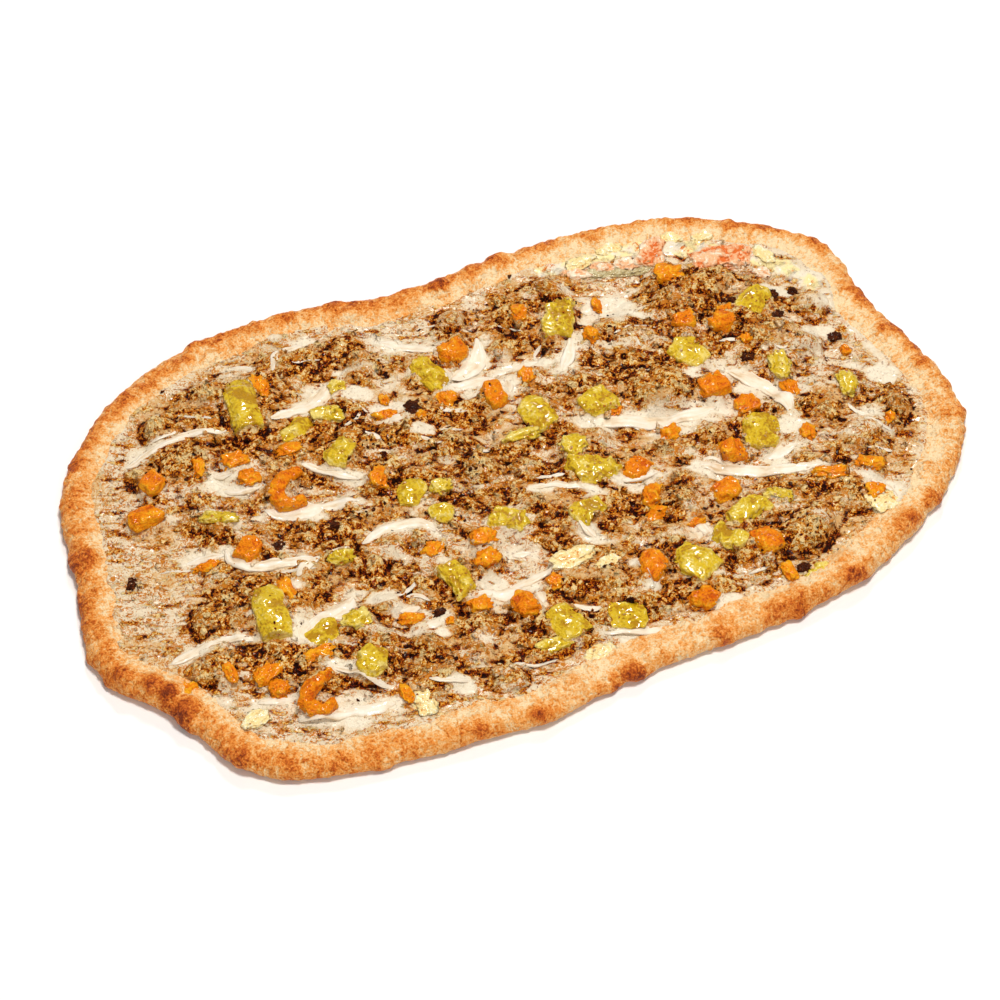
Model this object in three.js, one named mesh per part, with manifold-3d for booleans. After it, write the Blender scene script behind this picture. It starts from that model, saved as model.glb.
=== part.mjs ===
// A flammkuchen: an oblong, slightly waisted flat bread with a raised baked rim. A layer of cream
// fills its middle and carries a bed of crumbled mince, with pieces of mild green pepper, orange
// dice and hooks, strips of onion and two scraps of ham lying on the bed.
// Millimetres, +Z up. +X runs along the bread, and the origin is the middle of its footprint on the
// table. "Turn" is an angle in degrees, anticlockwise from +X seen from above.

import * as THREE from "three";
import { mergeVertices } from "three/addons/utils/BufferGeometryUtils.js";
import Module from "manifold-3d";

const wasm = await Module();
wasm.setup();

// ---- Driving dimensions ----------------------------------------------------------------------

// The bread's edge seen from above, anticlockwise from its east end.
const OUTLINE = [
  [150, -22], [145, 9], [142, 24], [143, 40], [138, 55], [127, 66], [99, 82], [68, 89],
  [36, 90], [5, 88], [-11, 89], [-27, 93], [-59, 96], [-90, 90], [-117, 74], [-137, 48],
  [-143, 17], [-150, -14], [-147, -30], [-137, -43], [-130, -57], [-124, -71], [-112, -83],
  [-83, -91], [-51, -94], [-27, -96], [-3, -92], [29, -91], [61, -90], [92, -83], [121, -68],
  [139, -52], [147, -39],
];
const OUTLINE_STEPS = 96;

// The rim's section from the sole up over the crest and down to the floor of the bread, as
// [distance in from the edge, height above the table, share of the swell that it takes].
const FLOOR_TOP = 3.2;
const RIM_SECTION = [
  [5.5, 0, 0], [1.6, 0.7, 0], [0, 2.4, 0.2], [0.5, 4.3, 0.6], [2.4, 6.1, 1], [4.9, 6.7, 1],
  [7.8, 6, 0.8], [11.5, 5, 0.1], [11.9, FLOOR_TOP, 0],
];
const RIM_SWELL = 0.16; // how much the crest's height varies round the bread, as a share
const BLISTER_HEIGHT = 0.7;
const BLISTER_SPACING = 13;

const CREAM_TOP = 4.9;
const CREAM_INSET = 12.3;
const CREAM_RIPPLE = 0.3;

const MINCE_INSET = 15; // distance in from the bread's edge at which the bed runs out
const MINCE_DEPTH = 2.1; // mean depth of the bare bed under the crumbs
const MINCE_SWING = 1.0;
const CREAM_STEP = 28; // grid of the cream's upper face
const BED_STEP = 14; // grid of the bare bed's upper face
const GAP = 0.3; // clearance between two pieces that touch

const CRUMB_SIZES = [10.5, 8.5, 7];
const CRUMBS_OF_A_SIZE = [18, 24, 20];
const CREAM_CRUMBS = 8;
const CREAM_CRUMB_SIZE = 4;
const PLACE_TRIES = 4000;

// Where the bed stays open and the cream shows, as [x, y, half length, half width, turn].
const OPEN_CREAM = [
  [62, 55, 11, 9, -20], [-63, 10, 17, 5, -8], [62, -4, 18, 4, -12], [89, -3, 8, 11, -60],
  [79, -32, 20, 5, -22], [8, 48, 11, 6, 30], [-26, 37, 8, 7, -10], [-82, -70, 22, 5, -8],
  [36, -23, 8, 4, -10], [-48, -46, 9, 6, -10], [-121, 8, 16, 26, 0], [124, -6, 9, 8, 0],
  [-46, 52, 14, 5, 25], [22, 40, 14, 4, 0], [-14, -41, 17, 5, -10], [110, 66, 22, 7, -35],
  [-126, -8, 14, 12, 0], [-104, -56, 10, 4, -8], [-75, -30, 13, 4, 25], [13, -76, 14, 4, -10],
];

// The large rounded lumps of mince, as [x, y, length, width, height, turn].
const MINCE_LUMPS = [
  [59, 9, 22, 18, 10, -35], [57, 42, 14, 9, 7, 10], [60, 34, 16, 9, 7, 0], [87, 45, 23, 14, 8, 0],
  [20, 56, 18, 16, 8, 40], [-8, 1, 15, 14, 9, 20], [5, -4, 9, 8, 7, 60], [111, -34, 17, 12, 8, 10],
  [45, -37, 14, 11, 8, 80], [23, -41, 10, 9, 7, 0], [77, -64, 20, 13, 8, 30], [-72, 42, 9, 7, 6, 0],
  [-77, 68, 15, 12, 7, 20], [-95, 45, 19, 11, 7, -10], [-34, -79, 15, 12, 8, 60],
  [-22, -83, 10, 9, 7, 0], [121, 25, 20, 9, 6, -5], [104, 18, 15, 14, 7, 30],
  [95, -55, 11, 9, 7, 70], [66, -14, 12, 12, 7, 0], [-96, -41, 9, 7, 6, 0],
  [-116, -37, 19, 11, 7, -10], [11, -58, 18, 12, 7, -20], [-15, 14, 15, 13, 7, 0],
];

// Pepper: tapered tips as [x, y, length, turn], then pieces of the wall, which are smooth and
// arched, and crumpled pieces, both as [x, y, length, width, turn].
const PEPPER_TIPS = [[-69.5, 59, 25, 80], [-93, -25.5, 24, 80]];
const PEPPER_TIP_WIDTHS = [6, 11.5];
const PEPPER_TIP_FLATNESS = 0.72; // thickness as a share of the width
const PEPPER_WALLS = [
  [-57, 43, 13, 9, 20], [-7.5, 47, 17, 9, 100], [17.5, 15.5, 16, 11.5, 105], [75, 21, 15, 12, 120],
  [105.5, 33.5, 13, 12, 30], [82, -19.5, 15, 13, 70], [-33.5, 0.5, 13, 10, 60],
  [-27.5, -10, 9, 8, 30], [-80.5, -39.5, 13, 9, 15], [-9.5, -66.5, 16, 11.5, 105],
  [10, -71, 13, 11, -20],
];
const PEPPER_CRUMPLED = [
  [-47.5, 26.5, 11, 9, 40], [40.5, 50.5, 17, 11, 65], [37.5, 11.5, 13, 11, 10],
  [24.5, -13.5, 16, 10, -20], [-9.5, -21.5, 13, 9, -35], [15, -28.5, 11, 9, 30],
  [-33.5, -36.5, 16, 9, 95], [-71.5, -56.5, 11, 9, 40], [37, -62.5, 15, 12, -60],
  [51, -58, 13, 7, -55], [62.5, -50, 14, 7, 15],
];
const PEPPER_WALL_HEIGHT = 4.6;
const PEPPER_WALL_ROUNDNESS = 0.72;
const PEPPER_CRUMPLED_HEIGHT = 5.6;
const PEPPER_CRUMPLED_FORM = { segments: 2, roundness: 0.6, unevenness: 0.24 };

// Orange dice as [x, y, length, width, turn], and the two hooks by their centre lines.
const ORANGE_DICE = [
  [-108, 39.5, 8, 8, 20], [-115, 27.5, 11, 7.5, 10], [-90, 0, 10, 8.5, 40], [4, 52.5, 9.5, 8.5, 10],
  [8, 28, 11, 8, 100], [78.5, 33, 8.5, 6.5, -10], [91, 27, 9, 7, 20], [75.5, 2.5, 10, 8.5, 0],
  [82.5, -8.5, 9, 9, 0], [69.5, -23.5, 9, 8, 75], [59.5, -38.5, 8.5, 7.5, 0],
  [37.5, -18.5, 10, 8, 40], [62, -63.5, 10, 9.5, 0], [24.5, -58.5, 11, 8.5, 100],
  [34.5, -75, 9.5, 8.5, 20], [-18.5, -56.5, 11, 8, 100],
];
const ORANGE_HEIGHT = 6;
const ORANGE_FORM = { segments: 2, roundness: 0.55, unevenness: 0.12 };
const ORANGE_HOOKS = [
  [[-62, 25], [-69, 23], [-73.5, 18], [-71, 13], [-65.5, 14.5]],
  [[-84.5, -56], [-91, -58], [-96, -62], [-93.5, -67], [-88, -65.5]],
];
const ORANGE_HOOK_WIDTHS = [3.4, 5, 6, 6, 4.6];

// Onion strips: the width of each and its centre line.
const ONION_STRIPS = [
  { width: 4.2, line: [[-63, 49.5], [-52, 50.5], [-44, 53], [-36, 59]] },
  { width: 3, line: [[-61, 28], [-55, 23], [-50, 18], [-46, 14]] },
  { width: 3.6, line: [[-96.5, 5], [-95.5, -2], [-90, -7.5], [-82, -9.5], [-73, -10.5]] },
  { width: 3.4, line: [[-56, -11], [-46, -8.5], [-37, -10], [-32, -16]] },
  { width: 4.2, line: [[-87, -38], [-80, -33], [-71, -32], [-64, -27]] },
  { width: 3.2, line: [[-17, 68], [-12, 63], [-6, 59], [-1, 55.5]] },
  { width: 5.4, line: [[14, 56], [12, 49], [7, 45], [-1, 43]] },
  { width: 3.4, line: [[42, 42], [39, 36], [33.5, 30]] },
  { width: 4.4, line: [[32, 5.5], [41, 2.5], [50, 0], [60, -3.5], [73, -5]] },
  { width: 4.6, line: [[83, 9], [89, 5], [94, -3], [96, -11], [94, -17]] },
  { width: 3.8, line: [[57, -24.5], [65, -28.5], [75, -34], [85, -38], [94, -40]] },
];
const ONION_THICKNESS = 1.8;
const ONION_END_SHARE = 0.45; // width of a strip's end against its middle

const HAM_SCRAPS = [[85, 68, 11, 8.5, 70], [104, 57, 20, 9, -12]];
const HAM_HEIGHT = 4;
const HAM_FORM = { segments: 2, roundness: 0.6, unevenness: 0.2 };
const BLOCK_SINK = 0.14; // share of a block's height that the bed takes away

// Pepper, orange and onion pieces too small for a solid of their own, fused to the bed, as
// [x, y, length, width, turn].
const SMALL_PIECES = [
  [-45.5, 43.5, 10, 6, -20], [-93.5, 16.5, 11, 4.5, -25], [9, 8, 12, 5, -5], [22.5, -2.5, 9, 8, 0],
  [-24, -1.5, 7, 6, 0], [-69.5, -40, 8, 7, 0], [-17, -72.5, 11, 5, -5], [100.5, 3, 11, 7, 80],
  [116.5, -14.5, 9, 6, 80], [73, -79, 9, 6, -20], [-64.5, -14.5, 9, 5, -15], [3, -44, 13, 7, 0],
  [74, -48, 9, 5, -40], [-80.5, 36.5, 9, 6, 0], [-79, 28, 7, 7, 0], [-6, 34.5, 6.5, 6.5, 0],
  [30, 58.5, 7, 5, 80], [21.5, 33, 7, 5.5, 60], [48, 39.5, 6.5, 5, 80], [-41, 10.5, 9, 5.5, 75],
  [99.5, -6.5, 9, 6, 80], [54, -8, 6.5, 6, 0], [95.5, -26.5, 6.5, 5, 80], [37, -31, 8, 6, 60],
  [94.5, -45.5, 10, 5, -25], [107, -47.5, 9, 5, -30], [-22, -33.5, 9, 7, 10],
  [-20, -25.5, 8, 6, -20], [-102, -46.5, 9, 6, 20], [-101, -53, 7, 6, 0], [-127.5, -42, 7, 6, 60],
  [-31, -48.5, 7, 6, 0],
];
const SMALL_PIECE_HEIGHT = 4.4;

// ---- Random draws and smooth noise -----------------------------------------------------------

/** A repeatable source of numbers from 0 to 1. */
function draws(seed) {
  let state = seed >>> 0;
  return () => {
    state = (state + 0x6d2b79f5) >>> 0;
    let t = Math.imul(state ^ (state >>> 15), 1 | state);
    t = (t + Math.imul(t ^ (t >>> 7), 61 | t)) ^ t;
    return ((t ^ (t >>> 14)) >>> 0) / 4294967296;
  };
}

/** Smooth noise from -1 to 1, whose hills lie about a length apart. */
function hills(x, y, length, seed = 0) {
  const corner = (i, j) => {
    const n = Math.sin(i * 127.1 + j * 311.7 + seed * 74.7) * 43758.5453;
    return 2 * (n - Math.floor(n)) - 1;
  };
  const u = x / length;
  const v = y / length;
  const i = Math.floor(u);
  const j = Math.floor(v);
  const a = THREE.MathUtils.smoothstep(u - i, 0, 1);
  const b = THREE.MathUtils.smoothstep(v - j, 0, 1);
  const low = THREE.MathUtils.lerp(corner(i, j), corner(i + 1, j), a);
  const high = THREE.MathUtils.lerp(corner(i, j + 1), corner(i + 1, j + 1), a);
  return THREE.MathUtils.lerp(low, high, b);
}

// ---- Solids for cutting and joining ----------------------------------------------------------

function toSolid(geometry) {
  const bare = geometry.clone();
  bare.deleteAttribute("normal");
  bare.deleteAttribute("uv");
  const merged = mergeVertices(bare, 1e-4);
  return new wasm.Manifold(
    new wasm.Mesh({
      numProp: 3,
      vertProperties: merged.attributes.position.array,
      triVerts: new Uint32Array(merged.index.array),
    }),
  );
}

function toGeometry(solid) {
  const mesh = solid.getMesh();
  const places = new Float32Array(mesh.numVert * 3);
  for (let i = 0; i < mesh.numVert; i++) {
    const from = i * mesh.numProp;
    places.set(mesh.vertProperties.subarray(from, from + 3), i * 3);
  }
  const geometry = new THREE.BufferGeometry();
  geometry.setAttribute("position", new THREE.BufferAttribute(places, 3));
  geometry.setIndex(new THREE.BufferAttribute(new Uint32Array(mesh.triVerts), 1));
  geometry.computeVertexNormals();
  return geometry;
}

function unite(solids) {
  return solids.reduce((whole, solid) => whole.add(solid));
}

/** The largest body of a solid that a cut may have split. */
function largestBody(solid) {
  return solid.decompose().sort((a, b) => b.volume() - a.volume())[0];
}

// ---- The bread's edge ------------------------------------------------------------------------

const edgeCurve = new THREE.CatmullRomCurve3(
  OUTLINE.map(([x, y]) => new THREE.Vector3(x, y, 0)), true, "centripetal");
const edgePoints = edgeCurve.getSpacedPoints(OUTLINE_STEPS).slice(0, OUTLINE_STEPS);
const edgeBox = new THREE.Box3().setFromPoints(edgePoints);
const edgeMiddle = edgeBox.getCenter(new THREE.Vector3());
edgePoints.forEach((point) => point.sub(edgeMiddle));

/** The closed line that runs a distance inside the bread's edge. */
function insetLine(distance) {
  return edgePoints.map((point, k) => {
    const before = edgePoints.at(k - 1);
    const after = edgePoints[(k + 1) % OUTLINE_STEPS];
    const inward = new THREE.Vector3(before.y - after.y, after.x - before.x, 0).normalize();
    return point.clone().addScaledVector(inward, distance);
  });
}

/** How much higher or lower than the section the rim stands, k steps along the edge. */
function swell(k) {
  const turn = (2 * Math.PI * k) / OUTLINE_STEPS;
  return RIM_SWELL * (0.5 * Math.sin(3 * turn + 3.6) + 0.3 * Math.sin(7 * turn + 1) +
    0.2 * Math.sin(13 * turn));
}

/** A tall straight-sided block over a closed line, used to trim other solids. */
function blockOver(line) {
  const shape = new THREE.Shape(line.map((point) => new THREE.Vector2(point.x, point.y)));
  return toSolid(new THREE.ExtrudeGeometry(shape, { depth: 30, bevelEnabled: false }));
}

// ---- Crust, cream and the bare bed -----------------------------------------------------------

function crustSolid() {
  const places = [];
  const faces = [];
  const contours = RIM_SECTION.map(([inset, height, share]) =>
    insetLine(inset).map((point, k) => {
      const blister = BLISTER_HEIGHT * hills(point.x, point.y, BLISTER_SPACING, 5);
      const lift = share * (height * swell(k) + blister);
      return new THREE.Vector3(point.x, point.y, height + lift);
    }));
  contours.flat().forEach((point) => places.push(point.x, point.y, point.z));
  for (let ring = 0; ring + 1 < contours.length; ring++) {
    for (let k = 0; k < OUTLINE_STEPS; k++) {
      const next = (k + 1) % OUTLINE_STEPS;
      const low = ring * OUTLINE_STEPS;
      const high = low + OUTLINE_STEPS;
      faces.push(low + k, low + next, high + next, low + k, high + next, high + k);
    }
  }
  const cap = (ring, upward) => {
    const start = ring * OUTLINE_STEPS;
    const flat = contours[ring].map((point) => new THREE.Vector2(point.x, point.y));
    THREE.ShapeUtils.triangulateShape(flat, []).forEach(([a, b, c]) => {
      faces.push(start + a, start + (upward ? b : c), start + (upward ? c : b));
    });
  };
  cap(0, false);
  cap(contours.length - 1, true);
  const geometry = new THREE.BufferGeometry();
  geometry.setAttribute("position", new THREE.Float32BufferAttribute(places, 3));
  geometry.setIndex(faces);
  return toSolid(geometry);
}

/** A slab over the whole bread, from a level up to a surface given by height(x, y). */
function slabUnder(height, step, bottom) {
  const across = edgeBox.getSize(new THREE.Vector3());
  const columns = Math.ceil(across.x / step);
  const rows = Math.ceil(across.y / step);
  const box = new THREE.BoxGeometry(columns * step, rows * step, 1, columns, rows, 1);
  const place = box.attributes.position;
  for (let i = 0; i < place.count; i++) {
    const top = place.getZ(i) > 0;
    place.setZ(i, top ? height(place.getX(i), place.getY(i)) : bottom);
  }
  return toSolid(box);
}

function creamHeight(x, y) {
  return CREAM_TOP + CREAM_RIPPLE * hills(x, y, 24, 2);
}

/** How far a point lies inside an open patch: 1 at its middle, 0 well outside. */
function openness(x, y) {
  return Math.max(...OPEN_CREAM.map(([cx, cy, halfLength, halfWidth, turn]) => {
    const angle = THREE.MathUtils.degToRad(turn);
    const along = (x - cx) * Math.cos(angle) + (y - cy) * Math.sin(angle);
    const aside = (y - cy) * Math.cos(angle) - (x - cx) * Math.sin(angle);
    return Math.exp(-((along / halfLength) ** 2) - (aside / halfWidth) ** 2);
  }));
}

function bedDepth(x, y) {
  const fromEdge = Math.min(...edgePoints.map((point) => Math.hypot(point.x - x, point.y - y)));
  const cover = THREE.MathUtils.smoothstep(fromEdge, MINCE_INSET, MINCE_INSET + 8);
  return (MINCE_DEPTH + MINCE_SWING * hills(x, y, 19, 7) + 2) * cover - 2 - 5 * openness(x, y);
}

function bedHeight(x, y) {
  return creamHeight(x, y) + bedDepth(x, y);
}

/** Height of what a topping lies on. */
function groundHeight(x, y) {
  return Math.max(creamHeight(x, y), bedHeight(x, y)) + GAP;
}

// ---- Toppings --------------------------------------------------------------------------------

/** Turns a solid made round the origin and sets it down at x, y, its middle at height z. */
function setDown(geometry, x, y, z, turn) {
  geometry.rotateZ(THREE.MathUtils.degToRad(turn));
  geometry.translate(x, y, z);
  return toSolid(geometry);
}

/** Moves each corner of a geometry by a rule. */
function reshape(geometry, rule) {
  const place = geometry.attributes.position;
  const point = new THREE.Vector3();
  for (let i = 0; i < place.count; i++) {
    point.fromBufferAttribute(place, i);
    rule(point);
    place.setXYZ(i, point.x, point.y, point.z);
  }
  return geometry;
}

/** A rounded, uneven lump, finer if it is large. */
function lump(x, y, size, turn, seed, { sink = 0.25, base = bedHeight } = {}) {
  const [length, width, height] = size;
  let ball = new THREE.IcosahedronGeometry(1.06, 0);
  if (length > 10) {
    ball = length > 16 ? new THREE.IcosahedronGeometry(1, 1) : new THREE.OctahedronGeometry(1, 1);
  }
  reshape(ball, (point) => {
    const bulge = 1 + 0.16 * hills(point.x * 9 + point.z * 5, point.y * 9, 7, seed);
    point.multiplyScalar(bulge).multiply(new THREE.Vector3(length / 2, width / 2, height / 2));
  });
  return setDown(ball, x, y, base(x, y) + height * (0.5 - sink), turn);
}

/** A block lying on the ground, its corners rounded towards a ball by a share, and uneven. */
function block([x, y, length, width, turn], height, { segments, roundness, unevenness }, grow, seed) {
  const box = new THREE.BoxGeometry(2, 2, 2, segments, segments, segments);
  const half = new THREE.Vector3(length, width, height).multiplyScalar(0.5).addScalar(grow);
  reshape(box, (point) => {
    point.lerp(point.clone().normalize().multiplyScalar(1.12), roundness);
    const swelling = hills(point.x * 9 + point.z * 4, point.y * 9 - point.z * 3, 7, seed);
    point.multiplyScalar(1 + unevenness * swelling).multiply(half);
  });
  return setDown(box, x, y, groundHeight(x, y) + height * (0.5 - BLOCK_SINK), turn);
}

function pepperCrumpled(row, grow, seed) {
  return block(row, PEPPER_CRUMPLED_HEIGHT, PEPPER_CRUMPLED_FORM, grow, seed);
}

function orangeDie(row, grow, seed) {
  return block(row, ORANGE_HEIGHT, ORANGE_FORM, grow, seed);
}

function hamScrap(row, grow, seed) {
  return block(row, HAM_HEIGHT, HAM_FORM, grow, seed);
}

/** A piece of pepper wall: a rounded plate, arched over its length and its width. */
function pepperWall([x, y, length, width, turn], grow, seed) {
  const plate = new THREE.BoxGeometry(2, 2, 1, 4, 3, 1);
  reshape(plate, (point) => {
    const reach = Math.max(Math.abs(point.x), Math.abs(point.y));
    const round = reach ? reach / Math.hypot(point.x, point.y) : 1;
    point.x *= THREE.MathUtils.lerp(1, round, PEPPER_WALL_ROUNDNESS);
    point.y *= THREE.MathUtils.lerp(1, round, PEPPER_WALL_ROUNDNESS);
    const uneven = 1 + 0.1 * hills(point.x * 6, point.y * 6, 5, seed);
    const arch = PEPPER_WALL_HEIGHT * (1 - 0.55 * point.y ** 2 - 0.3 * point.x ** 2);
    const top = point.z > 0;
    point.x *= (length / 2) * uneven + grow;
    point.y *= (width / 2) * uneven + grow;
    point.z = top ? arch + grow : -PEPPER_WALL_HEIGHT / 2;
  });
  return setDown(plate, x, y, groundHeight(x, y) - GAP, turn);
}

/**
 * A solid swept along a curve, with closed ends. section(share along the curve) gives its width and
 * its thickness there.
 */
function sweep(curve, steps, sides, section) {
  const places = [];
  const faces = [];
  for (let i = 0; i <= steps; i++) {
    const share = i / steps;
    const middle = curve.getPointAt(share);
    const ahead = curve.getTangentAt(share).setZ(0).normalize();
    const aside = new THREE.Vector3(-ahead.y, ahead.x, 0);
    const [width, thickness] = section(share);
    for (let j = 0; j < sides; j++) {
      const angle = (2 * Math.PI * (j + 0.5)) / sides;
      const point = middle.clone().addScaledVector(aside, (Math.cos(angle) * width) / 2);
      places.push(point.x, point.y, point.z + (Math.sin(angle) * thickness) / 2);
    }
  }
  for (let i = 0; i < steps; i++) {
    for (let j = 0; j < sides; j++) {
      const near = i * sides + j;
      const beside = i * sides + ((j + 1) % sides);
      faces.push(near, beside, beside + sides, near, beside + sides, near + sides);
    }
  }
  for (let j = 1; j + 1 < sides; j++) {
    const last = steps * sides;
    faces.push(0, j + 1, j, last, last + j, last + j + 1);
  }
  const geometry = new THREE.BufferGeometry();
  geometry.setAttribute("position", new THREE.Float32BufferAttribute(places, 3));
  geometry.setIndex(faces);
  return toSolid(geometry);
}

/** A smooth curve through points of the plan, lying a height above the ground. */
function curveOver(line, above) {
  return new THREE.CatmullRomCurve3(
    line.map(([x, y]) => new THREE.Vector3(x, y, groundHeight(x, y) + above)));
}

/** The value at a share along a row of values spaced evenly. */
function along(values, share) {
  const at = share * (values.length - 1);
  const i = Math.min(Math.floor(at), values.length - 2);
  return THREE.MathUtils.lerp(values[i], values[i + 1], at - i);
}

function pepperTip([x, y, length, turn], grow) {
  const angle = THREE.MathUtils.degToRad(turn);
  const reach = new THREE.Vector2(length / 2 + grow, 0).rotateAround(new THREE.Vector2(), angle);
  const ends = [[x - reach.x, y - reach.y], [x, y], [x + reach.x, y + reach.y]];
  const [thin, thick] = PEPPER_TIP_WIDTHS;
  const axis = new THREE.CatmullRomCurve3(ends.map(([px, py], k) =>
    new THREE.Vector3(px, py, groundHeight(px, py) + (k < 2 ? thick : thin) * 0.24)));
  const widths = [thick * 0.92, thick, thick * 0.94, thick * 0.82, thick * 0.68, thin, thin * 0.6];
  return sweep(axis, 5, 8, (share) => {
    const width = along(widths, share) + 2 * grow;
    return [width, width * PEPPER_TIP_FLATNESS];
  });
}

function orangeHook(line, grow) {
  return sweep(curveOver(line, 1.9), 7, 6, (share) => {
    const width = along(ORANGE_HOOK_WIDTHS, share) + 2 * grow;
    return [width, width * 0.9];
  });
}

function onionStrip({ width, line }, grow) {
  return sweep(curveOver(line, ONION_THICKNESS * 0.45), 5, 6, (share) => {
    const taper = ONION_END_SHARE + (1 - ONION_END_SHARE) * Math.sin(Math.PI * share) ** 0.5;
    return [width * taper + 2 * grow, ONION_THICKNESS + 2 * grow];
  });
}

// ---- Assembly --------------------------------------------------------------------------------

const LOOKS = {
  crust: { color: 0xd9a066, roughness: 0.8 },
  cream: { color: 0xeadfc4, roughness: 0.5 },
  mince: { color: 0xa07a52, roughness: 0.75 },
  pepper: { color: 0xbfae2a, roughness: 0.3 },
  orange: { color: 0xea8a1c, roughness: 0.35 },
  onion: { color: 0xf0e6d2, roughness: 0.35 },
  ham: { color: 0xdd7f5c, roughness: 0.45 },
};
const flammkuchen = new THREE.Group();
flammkuchen.name = "flammkuchen";

function addNode(name, solid, look) {
  const material = new THREE.MeshStandardMaterial({ ...LOOKS[look], metalness: 0 });
  const mesh = new THREE.Mesh(toGeometry(solid), material);
  mesh.name = name;
  flammkuchen.add(mesh);
}

const crust = crustSolid();
const cream = slabUnder(creamHeight, CREAM_STEP, FLOOR_TOP + GAP)
  .intersect(blockOver(insetLine(CREAM_INSET)));
const crustAndCream = slabUnder(creamHeight, CREAM_STEP, -10).add(crust).translate([0, 0, GAP]);
const bedSlab = slabUnder(bedHeight, BED_STEP, 0);
const bareBed = largestBody(bedSlab.subtract(crustAndCream));
const carrier = crustAndCream.add(bedSlab.translate([0, 0, GAP]));

/** The toppings in the order they were laid: each is cut clear of the bed and of those before it. */
const laid = [];
function layAll(kind, look, rows, make) {
  rows.forEach((row, k) => {
    const seed = 11 + k * 3;
    let solid = make(row, 0, seed).subtract(carrier);
    const box = solid.boundingBox();
    for (const other of laid) {
      const near = [0, 1].every((a) => other.box.min[a] < box.max[a] && box.min[a] < other.box.max[a]);
      if (near) {
        solid = solid.subtract(other.grown);
      }
    }
    solid = largestBody(solid);
    const grown = make(row, GAP, seed);
    laid.push({ grown, box: grown.boundingBox() });
    addNode(`${kind}_${k + 1}`, solid, look);
  });
}
layAll("pepper_tip", "pepper", PEPPER_TIPS, pepperTip);
layAll("pepper_wall", "pepper", PEPPER_WALLS, pepperWall);
layAll("pepper_crumpled", "pepper", PEPPER_CRUMPLED, pepperCrumpled);
layAll("orange_die", "orange", ORANGE_DICE, orangeDie);
layAll("orange_hook", "orange", ORANGE_HOOKS, orangeHook);
layAll("ham_scrap", "ham", HAM_SCRAPS, hamScrap);
layAll("onion_strip", "onion", ONION_STRIPS, onionStrip);

/** True if a fused piece, made a little larger, meets no topping. */
function isClear(piece) {
  const box = piece.boundingBox();
  return laid.every((other) => {
    const apart = [0, 1].some((a) => other.box.min[a] > box.max[a] || box.min[a] > other.box.max[a]);
    return apart || piece.intersect(other.grown).isEmpty();
  });
}

/** Places drawn evenly over the bread, at least a distance from those already taken. */
function* freePlaces(random, taken, spacing) {
  const half = edgeBox.getSize(new THREE.Vector3()).multiplyScalar(0.5);
  for (let tries = 0; tries < PLACE_TRIES; tries++) {
    const x = (2 * random() - 1) * half.x;
    const y = (2 * random() - 1) * half.y;
    if (taken.every(([tx, ty, reach]) => Math.hypot(tx - x, ty - y) > reach + spacing)) {
      yield [x, y];
    }
  }
}

function insideLine(line) {
  return (x, y) => {
    let inside = false;
    line.forEach((a, k) => {
      const b = line[(k + 1) % line.length];
      if (a.y > y !== b.y > y && x < ((b.x - a.x) * (y - a.y)) / (b.y - a.y) + a.x) {
        inside = !inside;
      }
    });
    return inside;
  };
}

const onMince = insideLine(insetLine(MINCE_INSET + 3));
const onCream = insideLine(insetLine(CREAM_INSET + 4));
const fused = [];
const taken = [];

/** Fuses a piece of the wanted size, or else a smaller one, where it meets no topping. */
function fuse(x, y, [length, width, height], turn, seed, options) {
  for (const share of [1, 0.85, 0.7]) {
    const size = [length * share, width * share, height];
    const probe = lump(x, y, size.map((side) => side + 2 * GAP), turn, seed, options);
    if (isClear(probe)) {
      fused.push(lump(x, y, size, turn, seed, options));
      taken.push([x, y, (size[0] + size[1]) / 4]);
      return true;
    }
  }
  return false;
}

MINCE_LUMPS.forEach(([x, y, length, width, height, turn], k) => {
  fuse(x, y, [length, width, height], turn, 40 + k, { sink: 0.35 });
});
SMALL_PIECES.forEach(([x, y, length, width, turn], k) => {
  const size = [length, width, SMALL_PIECE_HEIGHT];
  fuse(x, y, size, turn, 90 + k, { sink: 0.2, base: groundHeight });
});
const random = draws(20);
CRUMB_SIZES.forEach((size, s) => {
  let left = CRUMBS_OF_A_SIZE[s];
  for (const [x, y] of freePlaces(random, taken, size * 0.5)) {
    const scale = size * (0.85 + 0.3 * random());
    const shape = [scale, scale * (0.7 + 0.3 * random()), scale * 0.72];
    const turn = 180 * random();
    const seed = Math.round(999 * random());
    const fits = onMince(x, y) && bedDepth(x, y) > 0.9 && fuse(x, y, shape, turn, seed);
    left -= fits ? 1 : 0;
    if (!left) {
      break;
    }
  }
});
const mince = largestBody(unite([bareBed, ...fused]).subtract(crustAndCream));

let creamWithCrumbs = cream;
let crumbsLeft = CREAM_CRUMBS;
for (const [x, y] of freePlaces(random, taken, CREAM_CRUMB_SIZE)) {
  const wide = CREAM_CRUMB_SIZE + 2 * GAP;
  const probe = lump(x, y, [wide, wide, wide], 0, 3, { base: creamHeight });
  if (onCream(x, y) && isClear(probe) && probe.intersect(mince).isEmpty()) {
    const size = [CREAM_CRUMB_SIZE, CREAM_CRUMB_SIZE * 0.8, CREAM_CRUMB_SIZE * 0.7];
    creamWithCrumbs = creamWithCrumbs.add(
      lump(x, y, size, 180 * random(), 5, { base: creamHeight, sink: 0.35 }));
    taken.push([x, y, CREAM_CRUMB_SIZE]);
    crumbsLeft -= 1;
    if (!crumbsLeft) {
      break;
    }
  }
}

addNode("crust", crust, "crust");
addNode("cream", creamWithCrumbs, "cream");
addNode("mince", mince, "mince");

export default flammkuchen;
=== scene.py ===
"""A flammkuchen as it comes from the oven: baked rim, cream, crumbled mince, pepper, orange dice and onion.

Lengths in this file are millimetres until a mesh is written, which is in metres. The row frame's origin
is the middle of the bread's underside, +X runs along the bread and +Z is up. A turn is an angle in
degrees, anticlockwise from +X seen from above.
"""

from __future__ import annotations

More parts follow.
